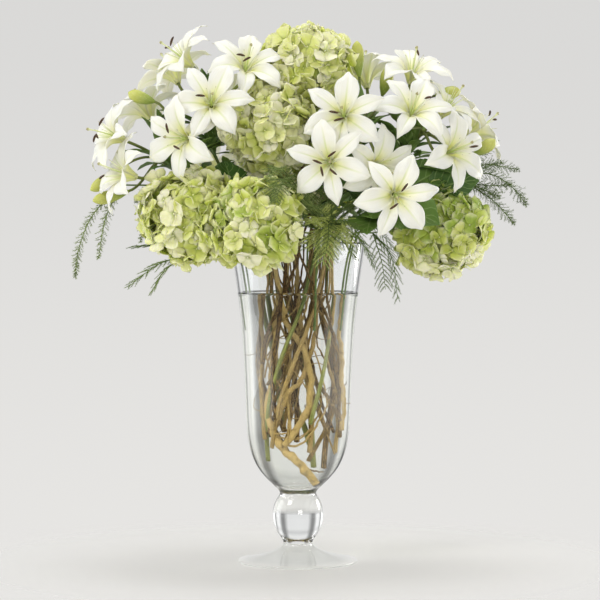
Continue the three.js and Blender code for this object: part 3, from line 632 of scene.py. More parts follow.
# how far in from the wall, and how far the water's edge has climbed there
MENISCUS = [(-WALL_OVERLAP, 1.6), (0.8, 0.9), (2.5, 0.2), (6, 0), (wall, 0)]
surface = [(wall - out, WATER_LEVEL + climb) for out, climb in MENISCUS]
outline = np.vstack([[(0, BOWL_FLOOR - WALL_OVERLAP)], wet[1:], surface])
turned(outline, "water_body", WATER, "water")

# ---------------- blooms

TEPAL_POINTS, TEPAL_COLUMNS = 25, 13
TEPAL_WIDTH = [(0, 0.2), (0.125, 0.33), (0.25, 0.56), (0.375, 0.87), (0.47, 1.0), (0.55, 0.98),
               (0.625, 0.87), (0.7, 0.68), (0.77, 0.49), (0.84, 0.31), (0.9, 0.18), (0.95, 0.08), (1, 0.01)]
TEPAL_HOLLOW = [(0, 0.9), (0.25, 0.55), (0.5, 0.10), (0.75, -0.22), (1, -0.3)]
INNER_HALF_WIDTH, OUTER_HALF_WIDTH = 18.2, 13.4
# where a tepal starts to lean back, as a share of its reach and as a height, and its arch from there
HINGE, HINGE_RISE = 0.2, 19
TEPAL_ARCH = [(0.36, 27.5), (0.53, 31.5), (0.7, 32.6), (0.84, 30.5), (0.94, 26.4), (1.0, 21.5)]
CAD_TIP_RISE = 23
# the ring that the tepals grow from, as (radius, height)
CUP = [(2.5, -3.2), (4.6, -2.8), (5.4, 0), (5.9, 3.2), (3.6, 3.2), (2.5, 0)]
CUP_SIDES = 24


def facing(axis):
    """A bloom's forward, right and upper directions."""
    forward = unit(vec(axis))
    right = unit(np.cross(UP, forward))
    return forward, right, np.cross(forward, right)


def outward(axes, turn):
    """The direction across a bloom at a turn in degrees."""
    _, right, upper = axes
    return upper * math.cos(math.radians(turn)) + right * math.sin(math.radians(turn))


def leaned(share, rise, lean):
    """How far out and forward a tepal's point lies once the tepal leans back by some degrees."""
    a = math.radians(lean)
    out, up = TEPAL_REACH * (share - HINGE), rise - HINGE_RISE
    return (TEPAL_REACH * HINGE + out * math.cos(a) + up * math.sin(a),
            HINGE_RISE + up * math.cos(a) - out * math.sin(a))


def tepal_lean(tree, base, forward, away):
    """Degrees that the CAD tepal leans back, found by its tip."""
    tips = [leaned(1, CAD_TIP_RISE, lean) for lean in LEANS]
    return LEANS[int(np.argmin([tree.find(base + away * out + forward * up)[2] for out, up in tips]))]


def tepal_line(axes, base, turn, lean, inner, t, rng):
    """The middle line of a tepal, which starts in the cup, arches and sways a little."""
    forward, away = axes[0], outward(axes, turn)
    controls = [(3.4, -1.0), (6.2, 8), (TEPAL_REACH * HINGE, HINGE_RISE)]
    controls += [leaned(share, rise, lean) for share, rise in TEPAL_ARCH]
    if not inner:
        controls = [(out + 0.6, up - 1.2 * min(1, k / 3)) for k, (out, up) in enumerate(controls)]
    flat = spline([(out, up, 0) for out, up in controls], t)
    sway = rng.uniform(-3, 3) * t ** 2 + rng.uniform(-1, 1) * np.sin(math.pi * t)
    return base + away * flat[:, :1] + forward * flat[:, 1:2] + np.cross(forward, away) * sway[:, None]


def add_tepal(pile, base, axes, turn, lean, inner, rng):
    """A tepal with a grooved middle, hollow at its base, and with a ruffle along each edge."""
    t, u = np.linspace(0, 1, TEPAL_POINTS), np.linspace(-1, 1, TEPAL_COLUMNS)
    line = tepal_line(axes, base, turn, lean, inner, t, rng)
    side = np.cross(axes[0], outward(axes, turn))
    normal = unit(np.cross(side, unit(np.gradient(line, axis=0))))
    normal *= np.sign((normal @ axes[0]).sum() or 1)
    width = (INNER_HALF_WIDTH if inner else OUTER_HALF_WIDTH) * eased(TEPAL_WIDTH, t)[:, None]
    hollow = (eased(TEPAL_HOLLOW, t) + rng.uniform(-0.08, 0.08))[:, None]
    groove = 2.0 * np.sin(math.pi * np.clip(t, 0.02, 0.98))[:, None] ** 0.7
    swell = (np.clip((t - 0.25) * 3, 0, 1) * np.clip((1.0 - t) * 6, 0, 1))[:, None]
    waves = rng.uniform(2.2, 3.4)
    left, right = rng.uniform(0, TAU, 2)
    ruffle = np.sin(TAU * waves * t[:, None] + np.where(u < 0, left, right))
    height = (hollow * width * (u ** 2 - 0.3) - groove * np.exp(-(u / 0.2) ** 2)
              + 1.8 * swell * np.abs(u) ** 2.2 * ruffle)
    narrow = 1 - 0.12 * np.abs(hollow) * np.abs(u)
    grid = line[:, None] + side * (width * u * narrow)[..., None] + normal[:, None] * height[..., None]
    points, faces, along, across = leafy(grid, 0.42 * (1 - 0.5 * np.abs(u)))
    pile.add(points, faces, along, across, rng.uniform(0, 1))


def add_cup(pile, base, axes):
    """The closed ring in the middle of a bloom."""
    turns = np.linspace(0, TAU, CUP_SIDES, endpoint=False)
    aways = [axes[2] * math.cos(a) + axes[1] * math.sin(a) for a in turns]
    rings = np.array([[base + axes[0] * up + away * out for away in aways] for out, up in CUP])
    ring = np.arange(len(CUP) * CUP_SIDES).reshape(len(CUP), CUP_SIDES)
    below, beside = np.roll(ring, -1, axis=0), np.roll(ring, -1, axis=1)
    pile.add(rings, quads(ring, beside, np.roll(beside, -1, axis=0), below), 0.05, 0.5, 0.5)


bloom_points = []
for k, (name, _, base, axis, roll) in enumerate(BLOOMS):
    base, axes = vec(base), facing(axis)
    tree = cad_tree(name)
    rng = seeded("bloom", k)
    pile = Pile()
    for i in (1, 3, 5, 0, 2, 4):
        turn = roll + 60 * i
        lean = tepal_lean(tree, base, axes[0], outward(axes, turn))
        add_tepal(pile, base, axes, turn, lean, i % 2 == 0, rng)
    add_cup(pile, base, axes)
    pile.made(name + "_petals", [PETAL], [name])
    bloom_points.append(np.vstack(pile.points))
bloom_points = np.vstack(bloom_points)
bloom_tree = points_tree(bloom_points)
petal_tree = points_tree(bloom_points[::2])

# ---------------- hydrangea heads

SEPAL_WIDTH = [(0, 0.1), (0.2, 0.36), (0.45, 0.56), (0.7, 0.57), (0.88, 0.38), (1, 0.06)]
FLORET_SHAPES = 10
GOLDEN_ANGLE = math.pi * (3 - math.sqrt(5))
HEAD_FLATTENING = 0.88
FLORET_ROOM = 11
# for each layer of a head: florets, share of the radius, size, range of tints, and whether it keeps off the
# petals; the low tints of the inner layers are a painted shade that makes the florets deep in a head dark
# green
LAYERS = [(50, 0.62, 18, (0, 0.1), False), (85, 0.83, 18.5, (0, 0.5), True),
          (125, 0.98, 18.7, (0.1, 1.0), True)]
# how pale the florets of each head are, partly the head's own tone and partly painted light that lifts the
# shaded middle head, and how much paler towards +X, +Y and +Z, a painted light: paler tops, and on the right
# head a pale lower right side as if lit from behind
HEAD_PALENESS_AND_PAINTED_LIGHT = [(0.14, 0, 0, 0.1), (0.30, 0, 0, 0.1), (0.1, 0, 0, 0), (-0.02, 0, 0, 0),
                 (-0.34, 0.4, 0.1, -1.0), (0.1, 0, 0, 0)]
# how far to the right a head's florets may stand, where the stems and the fern show beside it
RIGHTMOST = {"hydrangea_front": -4}


def floret_shape(rng):
    """Four broad sepals in two crossed pairs, a bead and a short stalk, at a radius of 1."""
    pile = Pile()
    t, u = np.linspace(0, 1, 7), np.linspace(-1, 1, 5)
    for k in range(4):
        away = level_way(TAU * k / 4 + rng.uniform(-0.14, 0.14))
        side = np.cross(UP, away)
        size, bend, cup = rng.uniform(0.84, 1.12), rng.uniform(-0.42, 0.48), rng.uniform(-0.28, 0.4)
        half = size * eased(SEPAL_WIDTH, t)[:, None]
        out = size * (0.05 + 0.95 * t)[:, None] * (1 - 0.04 * u ** 2)
        lift = (0.05 * (k % 2) + 0.10 * t + bend * t ** 2)[:, None] + cup * u ** 2 * half / 0.57
        lift = lift + 0.06 * np.sin(5 * t[:, None] + 3 * u + rng.uniform(0, TAU)) * np.abs(u)
        grid = away * out[..., None] + side * (half * u)[..., None] + UP * lift[..., None]
        points, faces, along, across = leafy(grid, 0.014)
        pile.add(points, faces, along, across, 0)
    tube(pile, [(0, 0, -0.6), (0, 0, -0.1), (0, 0, 0.04), (0, 0, 0.12)], [0.03, 0.035, 0.085, 0.05], 6, 0)
    return np.vstack(pile.points), np.vstack(pile.faces), np.vstack(pile.values)


def add_florets(pile, shapes, centre, radius, layer, lumps, pale_and_painted_light, rightmost, rng):
    """One layer of a head: florets along a spiral over a lumpy ball, each with its own lean and size."""
    # painted shade: the low tints of the inner layers make the florets deep in a head dark green
    count, share, size, tints_and_painted_shade, keeps_off = layer
    # painted light: a floret's tint is raised or lowered by its head's paleness and by the slope across the
    # head
    pale, *painted_light_slope = pale_and_painted_light
    for k in range(count):
        height = 1 - 2 * (k + 0.5) / count
        a = k * GOLDEN_ANGLE + rng.uniform(-0.15, 0.15)
        way = level_way(a) * math.sqrt(1 - height * height) + UP * height
        lump = 1 + 0.05 * np.sin(lumps[0] @ way * 3 + lumps[1]).sum()
        reach = radius * share * rng.uniform(0.9, 1.06) * lump
        place = centre + way * vec(1, 1, HEAD_FLATTENING) * reach
        lean = unit(way + rng.normal(0, 0.42, 3))
        spin = unit(np.cross(lean, unit(rng.normal(0, 1, 3))))
        scale = size * rng.uniform(0.78, 1.16)
        tint = min(1, max(0, rng.uniform(*tints_and_painted_shade) + pale + way @ vec(painted_light_slope)))
        in_petals = keeps_off and bloom_tree.find(place + lean * 2)[2] < FLORET_ROOM
        if in_petals or place[0] > rightmost:
            continue
        points, faces, values = shapes[int(rng.integers(len(shapes)))]
        basis = np.stack([spin, np.cross(lean, spin), lean]) * scale
        pile.add(points @ basis + place, faces, values[:, 0], values[:, 1], tint)


floret_points = []
shape_rng = seeded("floret shapes")
shapes = [floret_shape(shape_rng) for _ in range(FLORET_SHAPES)]
for k, (name, centre, radius, *_) in enumerate(HEADS):
    rng = seeded("head", k)
    pile = Pile()
    lumps = rng.normal(0, 1, (3, 3)), rng.uniform(0, TAU, 3)
    for layer in LAYERS:
        add_florets(pile, shapes, vec(centre), radius, layer, lumps, HEAD_PALENESS_AND_PAINTED_LIGHT[k],
                    RIGHTMOST.get(name, math.inf), rng)
    pile.made(name + "_florets", [FLORET], [name])
    floret_points.append(np.vstack(pile.points))
crowd_tree = points_tree(np.vstack([bloom_points[::3], np.vstack(floret_points)[::3]]))

# ---------------- stems


def stem_points(ring, mouth_turn, route):
    """A stem's points from its foot through the mouth of the vase, and on along its route."""
    points = []
    for level, height in STEM_HEIGHTS.items():
        turn, distance = ring[level]
        points.append(level_way(math.radians(mouth_turn + turn)) * distance + UP * height)
    return [*points, *route]


def stalk_line(points, base, forward, count=14):
    """A stalk that leaves the top of a stem in its direction and runs up to a bloom from behind."""
    start, nearly, end = spline(points, [0.98, 0.99, 1.0])
    span = np.linalg.norm(base - start)
    after, before = start + unit(end - nearly) * span * 0.4, base - forward * span * 0.45
    t = np.linspace(0, 1, count)[:, None]
    return start * (1 - t) ** 3 + 3 * after * t * (1 - t) ** 2 + 3 * before * t * t * (1 - t) + base * t ** 3


def bark_line(points, rng, wobble, count=90):
    """A stem's line with the small crooks that a woody shoot has, none at its ends."""
    t = np.linspace(0, 1, count)
    line = spline(points, t)
    fade = np.clip(np.minimum(t * 8, (1 - t) * 5), 0, 1)[:, None]
    for turns in (3, 7, 13):
        phase = rng.uniform(0, TAU, 3)
        line = line + fade * wobble / turns ** 0.7 * np.sin(turns * TAU * t[:, None] + phase)
    return line


def under_water(line, end, twist, reach):
    """The stem cut off at a height, and turned about the vase's axis more and more towards its foot."""
    line = line[line[:, 2] > end]
    mouth, foot = STEM_HEIGHTS["mouth"], STEM_HEIGHTS["foot"]
    depth = np.clip((mouth - line[:, 2]) / (mouth - foot), 0, 1)
    turn = math.radians(twist) * depth ** 1.5
    cos, sin = np.cos(turn), np.sin(turn)
    x, y = line[:, 0] * cos - line[:, 1] * sin, line[:, 0] * sin + line[:, 1] * cos
    room = wall_radius(line[:, 2]) - reach
    share = np.where(depth > 0, np.minimum(1, room / np.maximum(np.hypot(x, y), 1)), 1)
    return np.stack([x * share, y * share, line[:, 2]], 1)


def leaf_line(root, turn, rise, length, count):
    """A leaf's arched middle line, and the level direction that it grows in."""
    level = level_way(math.radians(turn))
    way = np.linspace(0, 1, count)[:, None]
    arch = 0.3 * way - 0.4 * way * way
    return root + level * length * way * math.cos(rise) + UP * length * (way * math.sin(rise) + arch), level


def leaf_place(node, root, turn, rise, length):
    """The turn and rise that the CAD leaf took, found by its tip."""
    tree = cad_tree(node)
    ways = [(turn + s, rise + u) for u in LEAF_LIFTS for s in LEAF_SWINGS]
    tips = [leaf_line(root, *way, length, 2)[0][-1] for way in ways]
    return ways[int(np.argmin([tree.find(tip)[2] for tip in tips]))]


def add_leaf(pile, root, turn, rise, length, stops, rng, kind=0, teeth=0, rows=30, columns=9, roll=0):
    """A folded, wavy leaf with its half widths in stops, teeth along its edges and a roll in degrees."""
    line, level = leaf_line(root, turn, rise, length, rows)
    t, u = np.linspace(0, 1, rows), np.linspace(-1, 1, columns)
    half = eased(stops, t)
    if teeth:
        half = half * (1 + 0.07 * np.abs((t * teeth) % 1 - 0.5) * 2 * (t > 0.12))
    half = half[:, None]
    side = np.cross(UP, level)
    normal = unit(np.cross(unit(np.gradient(line, axis=0)), side))
    cos, sin = math.cos(math.radians(roll)), math.sin(math.radians(roll))
    side, normal = side * cos + normal * sin, normal * cos - side * sin
    fold = 0.28 * half * np.abs(u) ** 1.3
    waves = 0.07 * half * u ** 2 * np.sin(TAU * (3.2 * t[:, None]) + 2.2 * np.sign(u) + rng.uniform(0, TAU))
    twist = rng.uniform(-0.25, 0.25) * t[:, None] * u * half
    grid = (line[:, None] + side[:, None] * (half * u * 0.97)[..., None]
            + normal[:, None] * (fold + waves + twist)[..., None])
    points, faces, along, across = leafy(grid, 0.35)
    pile.add(points, faces, along, across, rng.uniform(0, 1), kind)


def roomy_leaf(root, turn, rise, length, half):
    """How far from the petals a leaf can be kept by small changes to its turn and rise, and those."""
    best = None
    for lift in (0, 0.2, -0.2, 0.4):
        for swing in (0, 20, -20, 40, -40):
            line, level = leaf_line(root, turn + swing, rise + lift, length, 10)
            side = np.cross(UP, level) * half
            points = np.vstack([line[2:], line[3:8] + side, line[3:8] - side])
            room = min(petal_tree.find(point)[2] for point in points) - 0.01 * abs(swing) - 2 * abs(lift)
            if best is None or room > best[0]:
                best = room, turn + swing, rise + lift
    return best


def leaves_of(table, k, points):
    """The number, the root and the other values of each leaf that a table has for stem or head k."""
    for b, (_, at, *others) in enumerate(row for row in table if row[0] == k):
        yield b, spline(points, [at])[0], *others


# ---------------- lily stems

# height of the cut end and twist in degrees
LILY_FEET = [(196, 34), (178, -52), (158, -66), (204, -34), (150, 20)]
LILY_MATERIALS = [STEM, LILY_LEAF, BUD, PISTIL, ANTHER]
_, LEAF_KIND, BUD_KIND, PISTIL_KIND, ANTHER_KIND = range(len(LILY_MATERIALS))
LEAF_STOPS = [(0, 1.6), (0.12, 4.5), (0.35, 8.8), (0.55, 9.4), (0.8, 6.2), (1, 0.4)]
PLACED_LEAF_STOPS = [(t, 1.35 * half) for t, half in LEAF_STOPS]
EXTRA_LEAVES = 26
LEAF_CLEARANCE = 4
LEAF_ROOM = 1.5
BUD_GIRTH = [(0, 2.3), (0.06, 3.6), (0.25, 7.2), (0.5, 9.4), (0.72, 9.5), (0.88, 7.0), (0.97, 3.4), (1, 1.2)]
SMALL_BUD, SMALL_SHARE = 7, 0.6
PISTIL_GIRTH = [(0, 1.7), (0.24, 1.9), (0.3, 0.95), (0.9, 0.85), (0.94, 2.0), (0.98, 2.5), (1, 1.6)]
STAMENS = 6
ANTHER_HALF_LENGTH, ANTHERS_KEPT = 7.4, 0.3
# stem, way along its route, turn, rise, length
PLACED_LEAVES = [
    (0, 0.90, 330, 0.4, 90), (0, 0.98, 150, 1.2, 92), (0, 0.94, 20, 0.7, 86), (0, 0.86, 290, 0.6, 90),
    (0, 0.96, 90, 0.9, 84), (1, 0.97, 180, 0.7, 90), (1, 0.93, 120, 0.8, 90), (1, 0.88, 60, 0.9, 95),
    (1, 0.99, 220, 0.5, 80), (1, 0.9, 20, 0.8, 90), (2, 0.93, 0, 0.5, 95), (2, 0.93, 40, 0.7, 95),
    (2, 0.97, 20, 0.8, 90), (2, 0.90, 320, 0.6, 84), (2, 0.97, 150, 0.6, 80), (3, 0.88, 180, 0.8, 95),
    (3, 0.90, 230, 0.9, 92), (3, 0.86, 120, 0.9, 95), (3, 0.93, 200, 0.5, 90), (3, 0.95, 270, 0.5, 86),
    (0, 0.985, 185, 0.35, 95), (0, 0.99, 120, 1.25, 95), (1, 0.985, 150, 1.2, 92), (2, 0.985, 60, 1.1, 95),
    (2, 0.99, 340, 1.2, 85), (3, 0.80, 330, 0.2, 95), (3, 0.78, 300, 0.35, 95), (1, 0.96, 40, 1.0, 95),
    (3, 0.97, 160, 0.9, 88), (3, 0.82, 250, 1.0, 95), (3, 0.84, 0, 0.9, 90), (4, 0.95, 270, 0.6, 80),
    (4, 0.9, 200, 0.6, 90),
]


def add_bud(pile, base, tip, rng, share):
    """A three-lobed bud with a groove between its outer tepals."""
    axis = tip - base
    length = np.linalg.norm(axis)
    t = np.linspace(0, 1, 20)
    bow = unit(np.cross(axis, vec(rng.uniform(-1, 1), rng.uniform(-1, 1), 0.2))) * length * 0.03
    line = base + axis * t[:, None] * 0.985 + bow * np.sin(math.pi * t)[:, None]
    turn = np.linspace(0, TAU, 24, endpoint=False)
    ribs = 1 + 0.07 * np.cos(3 * turn) - 0.08 * np.exp(-(((turn * 6 / TAU) % 1 - 0.5) / 0.12) ** 2)
    tube(pile, line, eased(BUD_GIRTH, t) * share, 24, rng.uniform(0, 1), BUD_KIND, ribs)


def add_centre(pile, base, axes, rng):
    """Pistil and six stamens; most of the anthers have been taken off, as florists do."""
    forward = axes[0]
    t = np.linspace(0, 1, 26)
    droop = outward(axes, rng.uniform(0, 360)) * rng.uniform(2, 7)
    line = base + forward * (4 + 55 * t)[:, None] + droop * (t ** 2)[:, None]
    lobes = 1 + 0.22 * np.cos(3 * np.linspace(0, TAU, 12, endpoint=False))
    tube(pile, line, eased(PISTIL_GIRTH, t), 12, 0, PISTIL_KIND, lobes)
    s, a = np.linspace(0, 1, 10), np.linspace(-1, 1, 8)
    for k in range(STAMENS):
        away = outward(axes, 60 * k + 30)
        ahead, spread = rng.uniform(40, 47), rng.uniform(12, 17)
        thread = (base + forward * (2 + (ahead - 2) * s)[:, None]
                  + away * (0.8 + (spread - 0.8) * (0.35 * s + 0.65 * s * s))[:, None])
        tube(pile, thread, eased([(0, 0.8), (1, 0.4)], s), 6, 0.8, PISTIL_KIND)
        if rng.uniform() < ANTHERS_KEPT:
            aside = outward(axes, 60 * k + 120) * rng.uniform(-1, 1)
            way = unit(away + aside + forward * rng.uniform(-0.3, 0.5))
            bar = thread[-1] + way * (a * ANTHER_HALF_LENGTH)[:, None] - forward * (1.1 * a * a)[:, None]
            tube(pile, bar, 1.6 * np.sqrt(np.clip(1.04 - a * a, 0, 1)) + 0.15, 8, 0, ANTHER_KIND)


def add_extra_leaves(pile, points, rng):
    """Narrow leaves up the stem, wherever there is room between the flowers."""
    for b in range(EXTRA_LEAVES):
        root = spline(points, [0.6 + 0.39 * (b + rng.uniform()) / EXTRA_LEAVES])[0]
        turn, rise = b * 137.5 + rng.uniform(-25, 25), rng.uniform(-0.3, 1.0)
        length = rng.uniform(56, 96)
        line = leaf_line(root, turn, rise, length, 12)[0][2:]
        if min(crowd_tree.find(point)[2] for point in line) > LEAF_CLEARANCE:
            add_leaf(pile, root, turn, rise, length, LEAF_STOPS, seeded("extra leaf", b), LEAF_KIND)


for k, (name, turn, route) in enumerate(LILY_STEMS):
    points = stem_points(OUTER_RING, turn, route)
    pile = Pile()
    line = under_water(bark_line(points, seeded("lily stem", k), 0.5), *LILY_FEET[k], 7)
    t = np.linspace(0, 1, len(line))
    tube(pile, line, 2.8 * (1 - 0.25 * t) * (1 + 0.04 * np.sin(40 * t)), 12, 0.1)
    for b, (_, stem, base, axis, _) in enumerate(BLOOMS):
        if stem == k:
            base, axes = vec(base), facing(axis)
            stalk = stalk_line(points, base - axes[0] * 3, axes[0])
            tube(pile, stalk, np.linspace(2.1, 2.4, len(stalk)), 10, 0.6)
            add_centre(pile, base, axes, seeded("bloom centre", b))
    for b, (stem, base, tip) in enumerate(BUDS):
        if stem == k:
            base, tip = vec(base), vec(tip)
            tube(pile, stalk_line(points, base, unit(tip - base)), 2.0, 10, 0.6)
            add_bud(pile, base, tip, seeded("bud", b), SMALL_SHARE if b == SMALL_BUD else 1.0)
    for b, (stem, at, leaf_turn, rise) in enumerate(LILY_LEAVES):
        if stem == k:
            root = spline(points, [at])[0]
            way = leaf_place(name, root, leaf_turn, rise, LILY_LEAF_LENGTH)
            add_leaf(pile, root, *way, LILY_LEAF_LENGTH, LEAF_STOPS, seeded("leaf", b), LEAF_KIND)
    add_extra_leaves(pile, points, seeded("extra leaves", k))
    for b, root, leaf_turn, rise, length in leaves_of(PLACED_LEAVES, k, points):
        room, *way = roomy_leaf(root, leaf_turn, rise, length, 8)
        if room > LEAF_ROOM:
            add_leaf(pile, root, *way, length, PLACED_LEAF_STOPS, seeded("placed leaf", b), LEAF_KIND)
    pile.made(name + "_growth", LILY_MATERIALS, [name])

# ---------------- woody stems

WOODY_SHADES = (0.05, 0.7, 0.2, 0.0, 0.6, 0.15)
# height of the cut end and twist in degrees
WOODY_FEET = [(182, -75), (168, 70), (196, -62), (214, 58), (176, -80), (150, 50)]
KNOTS = np.array([0.12, 0.3, 0.47, 0.66, 0.84])
TEETH = 17
HEAD_SEEDS = 10
BROAD_STOPS = [(0, 1.8), (0.08, 3), (0.14, 16), (0.3, 33), (0.45, 38), (0.62, 34), (0.8, 20), (0.93, 7),
               (1, 0.5)]
LONG_STALK_STOPS = [(0, 1.4), (0.25, 2.2), (0.4, 14), (0.55, 28), (0.7, 32), (0.84, 24), (0.95, 8),
                    (1, 0.5)]
# head, way along its stem, turn, rise, length
EXTRA_BROAD_LEAVES = [
    (0, 0.86, 15, 0.3, 104), (0, 0.80, 345, 0.1, 96), (0, 0.90, 200, 0.5, 90), (0, 0.84, 60, 0.5, 100),
    (1, 0.80, 170, 0.3, 104), (1, 0.88, 140, 0.6, 96), (1, 0.74, 200, 0.0, 90), (2, 0.82, 130, 1.0, 92),
    (2, 0.9, 80, 0.8, 92), (2, 0.72, 160, 1.35, 108), (4, 0.80, 10, 0.9, 108), (4, 0.94, 90, 1.2, 80),
    (4, 0.84, 330, 0.55, 104), (4, 0.88, 30, 1.1, 100), (4, 0.82, 60, 0.9, 100), (4, 0.92, 340, 0.8, 92),
    (4, 0.78, 350, 0.7, 100), (5, 0.8, 40, 0.6, 100), (5, 0.86, 120, 0.5, 100),
]
# the same and degrees of roll, for leaves on long stalks that turn their faces to the front
TURNED_LEAVES = [
    (4, 0.86, 8, 0.5, 140, 55), (4, 0.80, 15, 0.7, 120, 55), (4, 0.72, 315, 0.02, 150, 50),
    (4, 0.70, 275, 0.5, 105, 0), (4, 0.76, 262, -0.2, 95, 0), (4, 0.68, 300, 0.15, 110, 30),
]


def add_broad_leaf(pile, root, way, length, stops, rng, rows=60, roll=0):
    add_leaf(pile, root, *way, length, stops, rng, 0, TEETH, rows, 13, roll)


for k, (name, _, _, turn, ring, route) in enumerate(HEADS):
    node = name + "_stem"
    points = stem_points(ring, turn, route)
    line = under_water(bark_line(points, seeded("woody stem", k), 2.0, 140), *WOODY_FEET[k], 8)
    t = np.linspace(0, 1, len(line))
    knots = 1 + 0.16 * np.exp(-((t[:, None] - KNOTS) / 0.012) ** 2).sum(1)
    bark = Pile()
    tube(bark, line, 2.9 * (1 - 0.3 * t) * knots, 12, WOODY_SHADES[k])
    bark.made(node + "_bark", [BARK], [node])
    pile = Pile()
    first = HEAD_SEEDS * k
    for b, root, leaf_turn, rise in leaves_of(HYDRANGEA_LEAVES, k, points):
        way = leaf_place(node, root, leaf_turn, rise, HYDRANGEA_LEAF_LENGTH)
        rng = seeded("broad leaf", first + b)
        add_broad_leaf(pile, root, way, HYDRANGEA_LEAF_LENGTH, BROAD_STOPS, rng, 70)
    for b, root, leaf_turn, rise, length in leaves_of(EXTRA_BROAD_LEAVES, k, points):
        share = length / HYDRANGEA_LEAF_LENGTH
        room, *way = roomy_leaf(root, leaf_turn, rise, length, 30 * share)
        if room > LEAF_ROOM:
            stops = [(t, half * share) for t, half in BROAD_STOPS]
            add_broad_leaf(pile, root, way, length, stops, seeded("extra broad leaf", first + b))
    for b, root, leaf_turn, rise, length, roll in leaves_of(TURNED_LEAVES, k, points):
        rng = seeded("turned leaf", first + b)
        add_broad_leaf(pile, root, (leaf_turn, rise), length, LONG_STALK_STOPS, rng, roll=roll)
    if pile.points:
        pile.made(name + "_leaves", [BROAD_LEAF], [node])

# ---------------- fern

# half width and how pale, for the ferns whose fronds are narrow plumes
PLUMES = {"fern_left_long": (10, 0.85), "fern_right_long": (15, 0.3)}
FROND_HALF_WIDTH, FROND_SPACING = 19, 4.2
FRESH_HALF_WIDTH, FRESH_SPACING = 18, 3.4
NEEDLE_SPACING = 1.1
# how far the branches and the needles of a frond keep off the petals
BRANCH_ROOM, NEEDLE_ROOM = 5, 7
# the young, pale fronds that hang over the front of the rim
FRESH_FRONDS = [
    [(33, -84, 498), (26, -100, 494), (10, -112, 478)], [(36, -92, 500), (34, -108, 492), (24, -120, 468)],
    [(38, -88, 502), (48, -106, 492), (52, -116, 462)], [(40, -84, 504), (62, -102, 502), (76, -112, 478)],
    [(30, -80, 500), (14, -98, 512), (0, -110, 508)], [(36, -84, 504), (40, -100, 520), (36, -112, 530)],
    [(38, -90, 500), (58, -108, 512), (70, -116, 506)], [(34, -90, 496), (40, -108, 480), (36, -118, 446)],
    [(30, -90, 504), (36, -118, 506), (44, -136, 492)], [(40, -90, 504), (56, -118, 500), (66, -134, 484)],
    [(34, -92, 506), (30, -120, 516), (26, -140, 508)], [(36, -92, 500), (42, -118, 486), (44, -134, 462)],
]
# more fronds of the ferns that the CAD has
EXTRA_FRONDS = {
    "fern_front": [
        [(30, -80, 500), (22, -84, 530), (6, -82, 566)], [(33, -85, 500), (46, -82, 535), (62, -72, 572)],
        [(36, -88, 500), (62, -86, 525), (90, -80, 546)], [(30, -80, 498), (12, -90, 512), (-10, -96, 540)],
        [(40, -80, 505), (70, -92, 508), (104, -92, 500)], [(30, -60, 505), (32, -44, 540), (40, -34, 584)],
        [(36, -96, 496), (60, -112, 486), (84, -120, 458)], [(44, -70, 506), (76, -58, 540), (100, -50, 572)],
        [(34, -84, 498), (24, -96, 490), (10, -104, 470)], [(40, -90, 500), (52, -100, 520), (76, -104, 536)],
        [(20, -70, 500), (14, -76, 530), (20, -70, 580)], [(30, -76, 500), (34, -84, 540), (30, -84, 590)],
        [(44, -84, 500), (60, -92, 500), (84, -100, 486)], [(26, -80, 500), (12, -90, 505), (-4, -100, 504)],
        [(36, -104, 514), (0, -146, 552), (-20, -188, 570), (-32, -212, 560), (-38, -216, 538)],
        [(50, -60, 506), (80, -40, 530), (118, -36, 556)], [(36, -90, 506), (44, -100, 510), (58, -104, 552)],
        [(30, -96, 516), (-6, -136, 566), (-26, -172, 586), (-40, -214, 570)],
        [(34, -100, 512), (-4, -140, 546), (-22, -196, 562), (-32, -222, 538)],
    ],
    "fern_right_long": [
        [(225, 50, 574), (262, 30, 604), (292, 14, 632)], [(240, 48, 578), (272, 24, 590), (306, 4, 600)],
        [(240, 48, 578), (280, 20, 566), (318, -4, 566)], [(232, 50, 576), (268, 60, 610), (304, 66, 634)],
        [(240, 48, 578), (276, 10, 560), (300, -22, 548)],
    ],
    "fern_right_low": [
        [(84, -55, 493), (104, -40, 520), (132, -28, 552)],
        [(110, -70, 494), (140, -66, 500), (166, -70, 520)],
    ],
    "fern_left_long": [[(-200, 8, 562), (-222, -20, 560), (-240, -40, 540)]],
    "fern_left_low": [[(-160, -28, 462), (-196, -20, 440), (-220, -24, 404)]],
    "fern_back": [
        [(30, 110, 500), (0, 130, 530), (-40, 140, 560)], [(60, 132, 512), (90, 140, 540), (120, 150, 580)],
        [(17, 99, 493), (-10, 130, 500), (-50, 160, 490)], [(60, 132, 512), (100, 150, 480), (120, 150, 440)],
    ],
}


def frame_along(line):
    """The directions ahead, through and across a frond's plane at each point of its line."""
    ahead = unit(np.gradient(line, axis=0))
    through = unit(np.cross(ahead, unit(np.cross(line[-1] - line[0], UP) + 1e-6)))
    return ahead, through, unit(np.cross(through, ahead))


